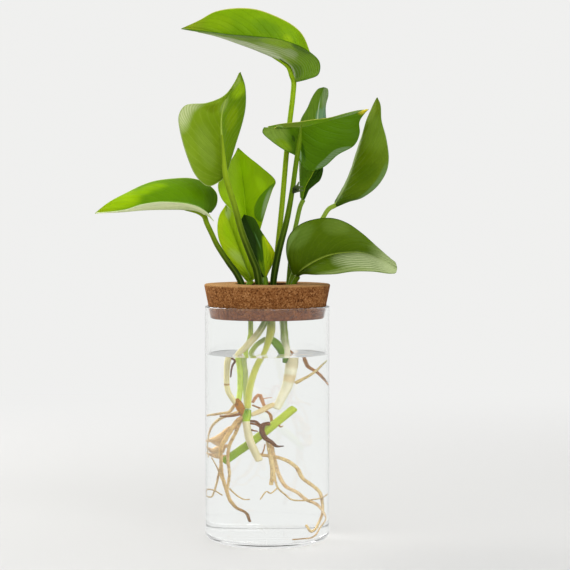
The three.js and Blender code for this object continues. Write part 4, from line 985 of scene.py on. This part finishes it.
# The upper face and the underside of each leaf, as leaf_face takes them. Many colours are painted light
# and shade: halves and patches lighter where light falls or shines through and darker where shade falls,
# and pale streaky patches painted sheen
LEAF_FACES = {
    "top": (
        dict(left="72a005 80aa09", right="76a003 86af05", rib="5f8606", margins="4b7203 e2dc6c",
             tip="93a81c",
             tints_and_painted_light=[(0.95, 0.24, 0.1, 0.07, "7ea305"), (0.78, 0.34, 0.08, 0.05, "9cc008"),
                      (0.8, 0.5, 0.12, 0.12, "6d9803", 0.3, 1), (0.75, 0.78, 0.2, 0.1, "8db206")]),
        # The pale streaky patches on this underside are painted sheen, and the dark ones at its lobe painted
        # shade
        dict(left="87a62c 668e04", right="87a82a 8fae4c", rib="d2deb4", margins="456b02 cfd86c", veins=0,
             streaks_and_sheen=0.3, grain=(7, 12), rib_width=0.1,
             tints_and_painted_light=[(0.47, 0.62, 0.11, 0.34, "f4f8ea", 0.8, 1), (0.33, 0.42, 0.1, 0.18, "c3d2a0", 0.9, 1),
                      (0.12, 0.46, 0.2, 0.13, "9fc606", 0.2, 1), (0.02, 0.7, 0.19, 0.18, "5f8503", 0, 0.6),
                      (0.15, 0.16, 0.3, 0.16, "75a005"), (0.02, 0.33, 0.12, 0.07, "527802", 0, 0.7),
                      (0.27, 0.34, 0.1, 0.06, "b4c692", 0.7, 1), (0.44, 0.16, 0.14, 0.14, "587e04")])),
    "left_upright": (
        dict(left="6a9310 77a012", rib="8fae3a", margins="a3b95c a3b95c"),
        # The pale streaky patches at this underside's corner and tip are painted sheen
        dict(left="6e9206 5d7e08", right="78980a 86a424", rib="b2ca54", margins="8fae6e b4c67c",
             foot="607f04", rib_width=0.04,
             tints_and_painted_light=[(1.0, 0.56, 0.16, 0.14, "e4edbe", 0.7, 1), (0.4, 0.92, 0.3, 0.08, "a3bb5c", 0.6, 1),
                      (0.72, 0.36, 0.14, 0.2, "8ba83c", 0.7, 1), (0.5, 0.74, 0.12, 0.08, "93aa5a", 0.5, 1),
                      (0.74, 0.7, 0.16, 0.07, "708a03"), (0.2, 0.84, 0.25, 0.1, "93b810"),
                      (0.25, 0.6, 0.16, 0.14, "7c9a0a"), (0.9, 0.87, 0.12, 0.02, "6d6a2c", 0, 0.8),
                      (0.5, 1.0, 0.5, 0.025, "5a6f1c", 0, 0.6)])),
    "left_arching": (
        dict(left="6a9704 77a406", right="629004 76a403", rib="7ba022", margins="cfe29c bfd83c",
             foot="3a5a03", tip="a6c00c",
             tints_and_painted_light=[(0.8, 0.8, 0.3, 0.16, "a3cb04"), (0.84, 0.6, 0.12, 0.14, "94c004"),
                      (0.7, 0.5, 0.14, 0.16, "689602", 0.3, 1), (0.9, 0.1, 0.3, 0.12, "446503")]),
        # This near-white underside is painted sheen
        dict(left="ecf6c8 f8ffe0", right="e0f0b8 e6f2cc", rib="c3d292", margins="f6ffe2 e6f2cc", veins=0,
             streaks_and_sheen=0.25, grain=(6, 9), glow=0.12,
             tints_and_painted_light=[(0.2, 0.05, 0.3, 0.1, "f0f8d8", 0.3, 1), (0.46, 0.3, 0.05, 0.3, "d2deb0", 0.5, 1)])),
    "centre_back": (
        # The dark band at the right edge is painted shade in the fold, and the pale streak beside it painted
        # sheen
        dict(left="93bf05 98b926", right="93bf04 97c006", rib="b0d818", margins="a8c23c a8c23c",
             rib_width=0.02, foot="9cc40a",
             tints_and_painted_light=[(0.8, 0.56, 0.08, 0.12, "a3cf10"), (1.06, 0.29, 0.37, 0.22, "5d8a10", 0, 0.15),
                      (0.95, 0.3, 0.07, 0.18, "9bb486", 0.3, 1), (0.6, 0.8, 0.25, 0.12, "98c803"),
                      (0.45, 0.97, 0.4, 0.06, "a6d216"), (0.52, 0.68, 0.02, 0.22, "80ab05"),
                      (0.15, 0.3, 0.3, 0.25, "a8d01c")]),
        dict(left="729a0e 7ea412", rib="93b03a", margins="a8c23c a8c23c")),
    "centre_left": (
        # The pale streaky patches are painted sheen
        dict(left="a6c920 b9d812", right="a2c51c 98bd14", rib="a8cb26", margins="c6d86c c6d86c",
             rib_width=0.02, foot="8aa814",
             tints_and_painted_light=[(0.35, 0.4, 0.3, 0.14, "b9d662", 0.3, 1), (0.6, 0.93, 0.4, 0.08, "bcd882", 0.3, 1),
                      (0.25, 0.68, 0.14, 0.14, "acd50a"), (0.4, 0.1, 0.4, 0.1, "7c9a10")]),
        dict(left="7ea31a 8aad20", rib="9ab546", margins="b4c95c b4c95c")),
    "centre_dark": (
        # The dark halves are painted shade, the bright yellow patches at the right edge painted light shining
        # through, and the bluish streak painted sheen
        dict(left="1d3402 233f04", right="2b4c06 3a5c08", rib="2c4a08", margins="33520c 6d8c1c",
             rib_width=0.02,
             tints_and_painted_light=[(0.56, 0.3, 0.26, 0.4, "4f7a14", 0.5, 1), (0.5, 0.2, 0.26, 0.22, "86ac18", 0.4, 1),
                      (0.9, 0.28, 0.34, 0.36, "a8cc0a", 0, 0.3), (0.99, 0.36, 0.18, 0.28, "dcee14", 0.2, 1),
                      (0.6, 0.66, 0.05, 0.14, "5f8a50", 0.4, 1), (0.75, 0.12, 0.3, 0.12, "b4cc10")]),
        dict(left="5d8410 6a9016", rib="88a63c", margins="a8c23c a8c23c")),
    "right_spread": (
        # The grey and pale streaky patches at the curl and the lobes are painted sheen
        dict(left="537c02 476d02", right="557c06 5f850a", rib="4a7003", margins="4f7a0a d8dc5e",
             rib_width=0.02, gloss=0.3, veins=0.08,
             tints_and_painted_light=[(0.4, 0.08, 0.6, 0.2, "86a442", 0.3, 1), (0.1, 0.2, 0.14, 0.08, "7a9c14"),
                      (0.8, 0.22, 0.3, 0.2, "6f8426"), (0.0, 0.59, 0.09, 0.14, "76906a", 0.6, 0.3),
                      (0.16, 0.345, 0.15, 0.022, "8aa87c", 0.2, 0.7),
                      (0.2, 0.39, 0.14, 0.02, "355a06", 0, 0.8), (0.3, 0.29, 0.08, 0.025, "345402"),
                      (0.35, 0.6, 0.18, 0.15, "507a02"), (0.6, 1.0, 0.7, 0.09, "f2e03c")]),
        dict(left="5c8420 688e28", rib="86a24a", margins="b5c05a d8dc5e",
             tints_and_painted_light=[(0.5, 1.0, 0.7, 0.09, "f2e03c")])),
    "right_rolled": (
        dict(left="5f8a0c 65862c", right="2c5004 274604", rib="a8c62c", margins="7a945c 6a8450",
             rib_width=0.025, gloss=0.3,
             tints_and_painted_light=[(0.03, 0.35, 0.07, 0.27, "a9c29c", 0.4, 1), (0.1, 0.84, 0.22, 0.16, "6d9028", 0.5, 1),
                      (0.75, 0.93, 0.4, 0.12, "90a878", 0.3, 1),
                      (0.58, 0.78, 0.32, 0.1, "7fa68c", 0.5, 0.5), (0.34, 0.82, 0.025, 0.12, "b9ccae"),
                      (0.6, 0.76, 0.12, 0.05, "5f8f5a", 0.3, 1), (0.3, 0.3, 0.1, 0.14, "5a8412", 0.3, 1)]),
        dict(left="4c6f24 587a30", rib="88a458", margins="708a52 708a52")),
    "right_upright": (
        # The pale streaky patch at the right edge is painted sheen
        dict(left="7f9a4a 8aa45a", right="597406 627d10", rib="7c953a", margins="a3b97a 7f9a58",
             foot="405f06", tip="6a8214", veins=0.1, rib_width=0.04,
             tints_and_painted_light=[(0.8, 0.72, 0.3, 0.16, "759428", 0.5, 1), (0.97, 0.3, 0.06, 0.24, "6f8f56", 0.3, 1),
                      (0.75, 0.42, 0.16, 0.12, "526f04", 0.3, 1), (0.6, 0.9, 0.2, 0.1, "819c34", 0.6, 1)]),
        dict(left="6a8a2a 769432", rib="93aa58", margins="9fb370 9fb370")),
    "right_low": (
        # The pale streaky lower half and the soft patches on the upper half are painted sheen
        dict(left="4b6503 557006", right="465e04 56700e", rib="93a83c", margins="3a5206 7a9048",
             foot="425a03", tip="b2c28c", rib_width=0.06, gloss=0.3, veins=0.05, grain=(3, 11),
             tints_and_painted_light=[(0.12, 0.3, 0.16, 0.12, "678430", 0.4, 1), (0.1, 0.55, 0.16, 0.1, "66802a", 0.3, 1),
                      (0.8, 0.74, 0.36, 0.3, "c9d6a8", 0.95, 1), (0.97, 0.5, 0.07, 0.3, "9aac6c", 0.8, 1),
                      (0.7, 0.18, 0.25, 0.1, "374a03"), (0.06, 0.2, 0.06, 0.12, "7f9e50", 0.3, 1)]),
        dict(left="6f8a3a 809a4a", right="9aab70 b4c08e", rib="9fb06a", margins="b4c08e b4c08e",
             streaks_and_sheen=0.5)),
}


class VASE_OT_leaves(bpy.types.Operator):
    """Spreads each leaf between its midrib and its two edges, and gives it two faces and a thick midrib"""
    bl_idname = "vase.leaves"
    bl_label = "Leaves"

    # Heights on the blade in millimetres, and how many side veins lie along it
    lift = 0.25
    groove = 0.12
    swell = 0.11
    wave = 0.7
    side_veins = 9

    def execute(self, context):
        for name, leaf in LEAVES.items():
            self.leaf(name, leaf, context.scene.plant)
        return {"FINISHED"}

    def leaf(self, name, leaf, size):
        blade = Blade(leaf)

        def place(x, y):
            out = abs(2 * x - 1)
            groove = -self.groove * math.exp(-(out / 0.04) ** 2) * (1 - y) ** 0.5
            veins = math.cos(2 * math.pi * (self.side_veins * y - 2.2 * out))
            swell = self.swell * veins * math.sin(math.pi * out)
            point = blade.base(x, y)
            wave = self.wave * noise.noise(point * 60) * out ** 2 * math.sin(math.pi * min(1, y + 0.05))
            return point + blade.normal(x, y) * (self.lift + groove + swell + wave) * MM

        obj = grid("leaf_blade_" + name, size.blade_columns, size.blade_rows, place)
        close_seams(obj)
        group = obj.vertex_groups.new(name="thickness")
        uvs = {}
        for loop in obj.data.loops:
            uvs[loop.vertex_index] = obj.data.uv_layers[0].data[loop.index].uv
        thin = size.blade / size.midrib
        for index, (x, y) in uvs.items():
            out = abs(2 * x - 1)
            rib = math.exp(-(out / 0.05) ** 2) * (1 - 0.7 * y)
            edge = 0.5 if out > 0.97 else 1
            group.add([index], max(rib, thin * edge), "REPLACE")
        upper, under = LEAF_FACES[name]
        for side, look in (("upper", upper), ("under", under)):
            obj.data.materials.append(leaf_face(f"leaf_{name}_{side}", **look))
        obj.data.materials.append(leaf_rim(f"leaf_{name}_rim", upper["margins"]))
        thicken(obj, size.midrib, -1, vertex_group=group.name, use_even_offset=False, material_offset=1,
                material_offset_rim=2)
        obj.vertex_groups.clear()
        dress(obj, "cuttings", leaf["slot"], None, "leaf_" + name)


# The look of each stalk, as stalk_skin takes it
STALK_LOOKS = {
    "top": dict(codes="86a60c 7a9410 b0c83c"),
    "left_upright": dict(codes="86a01a 2a4002 93aa3c", stripes=0.25, turns=(0.3, 0.8)),
    "left_arching": dict(codes="7a9412 263c03 7a9026", stripes=0.25, turns=(0.3, 0.9)),
    "centre_back": dict(codes="7a9a12 5a7a0c 9ab440"),
    "centre_left": dict(codes="7a9a12 4f6e0a 9ab440"),
    "centre_dark": dict(codes="5f8010 4a6a0a 88a43a"),
    "right_spread": dict(codes="587508 1f3402 6f8a2a", stripes=0.25, turns=(0.25, 0.75)),
    "right_rolled": dict(codes="6f8c26 5a7614 8ca448"),
    "right_upright": dict(codes="869e34 6d8a18 9cb252"),
    "right_low": dict(codes="5f7d10 46640a 7f9a30"),
}

# Dried scales that stand off from the stalk of the right spread leaf, above the stopper
BRACTS = [
    [(16.6, -14.4, 58.8), (19.8, -15.0, 59.3), (22.8, -15.0, 59.4)],
    [(16.9, -14.4, 60.4), (18.9, -15.0, 62.2), (20.0, -15.2, 64.8)],
    [(18.4, -15.0, 60.0), (20.6, -15.4, 61.6), (22.4, -15.2, 61.8)],
]


class VASE_OT_stalks(bpy.types.Operator):
    """Grows a stalk to the base of each leaf, and the thick stem that they share in the stopper's hole"""
    bl_idname = "vase.stalks"
    bl_label = "Stalks"

    # Where in the hole a stalk starts, as a share of its height, and the rows that under counts
    foot_height = 0.22
    rows = 12
    # How far below the blade its end lies in millimetres, and how much it closes in and narrows there
    clearance = 0.45
    closing = 0.25
    narrowing = 0.72

    def execute(self, context):
        size = context.scene.plant
        for name, leaf in LEAVES.items():
            self.stalk(name, leaf, size)
        self.cross_stem(size)
        skin = stalk_skin("dried_bract", "5a6a40 1a240e 93a27c", waves=2)
        for number, path in enumerate(BRACTS, 1):
            obj = tube(f"dried_bract_{number}", [above(p) for p in path], (1.3, 0.9, 0.35),
                       size.root_sides, 0.4 * MM)
            dress(obj, "cuttings", "stalk_green", skin)
        return {"FINISHED"}

    def stalk(self, name, leaf, size):
        radius, neck = leaf["radius"], leaf["neck"]
        blade = Blade(leaf)
        path = [in_collar(leaf["foot"], self.foot_height, radius), in_collar(leaf["collar"], 1, radius)]
        path += [above(p) for p in leaf["bends"]]
        radii = [0.8 * radius, radius, (radius + neck) / 2, neck, neck]
        free = len(path)
        for k, row in enumerate(leaf["under"]):
            share = row / self.rows
            away = (neck * leaf["beside"] * (1 - self.closing * k) + self.clearance) * MM
            path.append(blade.base(0.5, share) - blade.normal(0.5, share) * away)
        spans = [(b - a).length for a, b in zip(path, path[1:])]
        bare = 1 - max(sum(spans[free:]) / sum(spans), leaf.get("drawn_out", 0))

        def radius_at(share):
            if share <= bare:
                return spread(radii, share / bare)
            return neck * (1 - self.narrowing * (share - bare) / (1 - bare))

        obj = tube("leaf_stalk_" + name, path, radius_at, size.stalk_sides, size.step)
        skin = stalk_skin("stalk_" + name, **STALK_LOOKS[name])
        dress(obj, "cuttings", "stalk_green", skin, "stalk_" + name)

    def cross_stem(self, size):
        skin = stalk_skin("shared_stem", "5d7c12 4c6a0c 7f9a34")
        thick = 2.6
        places = ((-0.84, -0.1), (-0.3, -0.04), (0.3, -0.08), (0.88, -0.04))
        obj = tube("shared_stem", [in_collar(p, 0.2, thick) for p in places],
                   (0.85 * thick, thick, thick, 0.85 * thick), size.stalk_sides, size.step)
        dress(obj, "cuttings", "stalk_green", skin, "stem_collar")


# Short side roots that no solid stands for: radii in millimetres, colours, and a path like those above
ROOTLETS = [
    ((0.7, 0.6, 0.35), "9a6426 663c12",
     [(-0.22, -0.12, 0.478), (-0.15, -0.14, 0.482), (-0.09, -0.14, 0.497)]),
    ((0.6, 0.5, 0.4), "9a6426 663c12",
     [(-0.21, -0.12, 0.508), (-0.17, -0.14, 0.511), (-0.13, -0.15, 0.513)]),
    ((0.6, 0.5, 0.25), "c08c4c 8e5c26", [(0.14, 0.0, 0.484), (0.17, -0.03, 0.497), (0.2, -0.04, 0.492)]),
    ((0.4, 0.35, 0.3), "c08c4c 8e5c26", [(-0.07, -0.1, 0.62), (-0.045, -0.08, 0.6), (-0.03, -0.06, 0.575)]),
    ((0.3, 0.25, 0.2), "e2a878 b87848", [(-0.06, 0.0, 0.369), (0.0, 0.0, 0.364), (0.06, 0.0, 0.362)]),
]

# Thin skins between the roots at the left wall: the root that each hangs from, and its free edge
WEBS = [
    ([(-0.46, 0.03, 0.505), (-0.55, 0.08, 0.535), (-0.66, 0.08, 0.56), (-0.76, 0.08, 0.567)],
     [(-0.5, 0.04, 0.56), (-0.57, 0.09, 0.595), (-0.63, 0.1, 0.592), (-0.74, 0.09, 0.575)]),
    ([(-0.52, 0.06, 0.59), (-0.61, 0.14, 0.605), (-0.69, 0.14, 0.615), (-0.76, 0.13, 0.608)],
     [(-0.54, 0.1, 0.62), (-0.59, 0.17, 0.643), (-0.65, 0.17, 0.638), (-0.74, 0.15, 0.62)]),
]


class VASE_OT_roots(bpy.types.Operator):
    """Grows the stems and roots that hang in the vessel"""
    bl_idname = "vase.roots"
    bl_label = "Stems and roots"

    # How rough roots and stems are, as shares of their radius
    root_relief = 0.16
    stem_relief = 0.04

    def execute(self, context):
        size = context.scene.plant
        for name, (slot, radii, path, *look) in SUNK_PIECES.items():
            is_root = slot == "root_tan"
            rough = self.root_relief if is_root else self.stem_relief

            def relief(point):
                return rough * (noise.noise(point * 420) + 0.5 * noise.noise(point * 1100))

            obj = tube(name.replace("stem", "grown_stem").replace("root_", "grown_root_"),
                       [below(p) for p in path], radii, size.root_sides if is_root else size.stalk_sides,
                       size.step * (0.8 if is_root else 1), relief)
            make = root_skin if is_root else stalk_skin
            dress(obj, "cuttings", slot, make(obj.name, **(look[0] if look else PLAIN_ROOT)), name)
        for number, (radii, codes, path) in enumerate(ROOTLETS, 1):
            obj = tube(f"rootlet_{number}", [below(p) for p in path], radii, size.root_sides, 0.5 * MM)
            dress(obj, "cuttings", "root_tan", root_skin(obj.name, codes))
        for number, edges in enumerate(WEBS, 1):
            self.web(f"root_web_{number}", *(Route([below(p) for p in edge]) for edge in edges))
        return {"FINISHED"}

    def web(self, name, held, free):
        """A thin crumpled skin between a root and a free edge"""

        def place(x, y):
            point = held.at(y).lerp(free.at(y), x)
            return point + Vector((0, 0.6 * noise.noise(point * 300), 0)) * MM

        obj = grid(name, 12, 24, place)
        close_seams(obj)
        thicken(obj, 0.5 * MM, 0)
        dress(obj, "cuttings", "root_tan", root_skin(name, "fbe0b0 dcae74", spots=0.2))


class VASE_OT_stage(bpy.types.Operator):
    """Lays a pale floor and backdrop, and sets the soft light and the camera"""
    bl_idname = "vase.stage"
    bl_label = "Stage"

    lit_middle = Vector((0, 0, 0.2))

    def execute(self, context):
        stage = context.scene.stage
        self.plane("floor", 6, (0, 0, 0), (0, 0, 0), self.floor_paint(stage))
        self.plane("backdrop", 8, (0, 2.4, 2), (math.pi / 2, 0, 0), self.backdrop_paint(stage))
        self.lamp("window_light", (-1.3, 0.9, 1.2), 1.4, 30, (1.0, 0.99, 0.97))
        self.lamp("fill_light", (0.9, -1.6, 1.3), 1.6, 22, (0.98, 0.99, 1.0))
        self.world(context.scene, stage)
        self.camera(context.scene, stage)
        context.scene.view_settings.view_transform = "Standard"
        return {"FINISHED"}

    def plane(self, name, width, location, turn, paint):
        deselect()
        bpy.ops.mesh.primitive_plane_add(size=width, location=location, rotation=turn)
        obj = bpy.context.object
        obj.name = name
        obj.data.materials.append(paint)

    def seen_rays(self, paint, *outputs):
        """1 for rays of these kinds and 0 for the others"""
        rays = paint.node("LightPath")
        kinds = [Link(paint, rays.outputs[f"Is {output} Ray"]) for output in outputs]
        return sum(kinds[1:], kinds[0])

    def floor_paint(self, stage):
        """Matte paint that takes the shadow. It turns into the backdrop's plain colour further back, and
        glass shows it plain too."""
        paint = Shades("floor_paint")
        tint = tuple(stage.floor_colour)
        matte = paint.principled(Base_Color=tint, Roughness=0.8, Specular_IOR_Level=0.2)
        plain = paint.link("Emission", None, {"Color": tuple(stage.backdrop_colour), "Strength": 1.0})
        back = paint.split(paint.place)[1].within(0.12, 0.85)
        direct = self.seen_rays(paint, "Camera")
        through = self.seen_rays(paint, "Glossy", "Transmission") * stage.shown_through
        far = direct * back
        shown = far.math("MAXIMUM", far, through)
        return paint.finish(paint.link("MixShader", None, {0: shown, 1: matte, 2: plain}))

    def backdrop_paint(self, stage):
        paint = Shades("backdrop_paint")
        tint = tuple(stage.backdrop_colour)
        matte = paint.principled(Base_Color=tint, Roughness=0.9, Specular_IOR_Level=0.1)
        plain = paint.link("Emission", None, {"Color": tint, "Strength": 1.0})
        shown = self.seen_rays(paint, "Camera", "Glossy", "Transmission")
        return paint.finish(paint.link("MixShader", None, {0: shown, 1: matte, 2: plain}))

    def lamp(self, name, location, width, power, tint):
        light = bpy.data.lights.new(name, "AREA")
        light.size = width
        light.energy = power
        light.color = tint
        obj = bpy.data.objects.new(name, light)
        bpy.context.collection.objects.link(obj)
        obj.location = location
        obj.rotation_euler = (self.lit_middle - Vector(location)).to_track_quat("-Z", "Y").to_euler()

    def world(self, scene, stage):
        world = bpy.data.worlds.new("soft_room")
        scene.world = world
        world.use_nodes = True
        paint = Shades("soft_room", world.node_tree)
        light = paint.link("Background", None, {"Color": (0.98, 0.99, 1.0), "Strength": stage.room_light})
        plain = paint.link("Background", None, {"Color": tuple(stage.backdrop_colour), "Strength": 1.0})
        shown = self.seen_rays(paint, "Camera", "Glossy", "Transmission")
        both = paint.link("MixShader", None, {0: shown, 1: light, 2: plain})
        paint.node("OutputWorld", None, {"Surface": both})

    def camera(self, scene, stage):
        lens = bpy.data.cameras.new("camera")
        lens.lens = stage.lens
        lens.sensor_width = 36
        obj = bpy.data.objects.new("camera", lens)
        scene.collection.objects.link(obj)
        obj.location = (0, -stage.distance, stage.eye_height)
        aim = Vector((stage.aim_right, 0, stage.aim_height))
        obj.rotation_euler = (aim - obj.location).to_track_quat("-Z", "Y").to_euler()
        scene.camera = obj


class VASE_PT_panel(bpy.types.Panel):
    """Lists the steps that build the vase"""
    bl_idname = "VASE_PT_panel"
    bl_label = "Propagation vase"
    bl_space_type = "VIEW_3D"
    bl_region_type = "UI"
    bl_category = "Vase"

    def draw(self, context):
        for step in STEPS:
            self.layout.operator(step.bl_idname)


STEPS = (VASE_OT_glass, VASE_OT_water, VASE_OT_cork, VASE_OT_leaves, VASE_OT_stalks, VASE_OT_roots,
         VASE_OT_stage)
SETTINGS = {"vessel": VesselSettings, "plant": PlantSettings, "stage": StageSettings}


def register():
    for cls in (*SETTINGS.values(), *STEPS, VASE_PT_panel):
        bpy.utils.register_class(cls)
    for name, settings in SETTINGS.items():
        setattr(bpy.types.Scene, name, PointerProperty(type=settings))


def unregister():
    for name in SETTINGS:
        delattr(bpy.types.Scene, name)
    for cls in (VASE_PT_panel, *STEPS[::-1], *SETTINGS.values()):
        bpy.utils.unregister_class(cls)


def main():
    register()
    bpy.ops.vase.glass()
    bpy.ops.vase.water()
    bpy.ops.vase.cork()
    bpy.ops.vase.leaves()
    bpy.ops.vase.stalks()
    bpy.ops.vase.roots()
    bpy.ops.vase.stage()


if __name__ == "__main__":
    main()
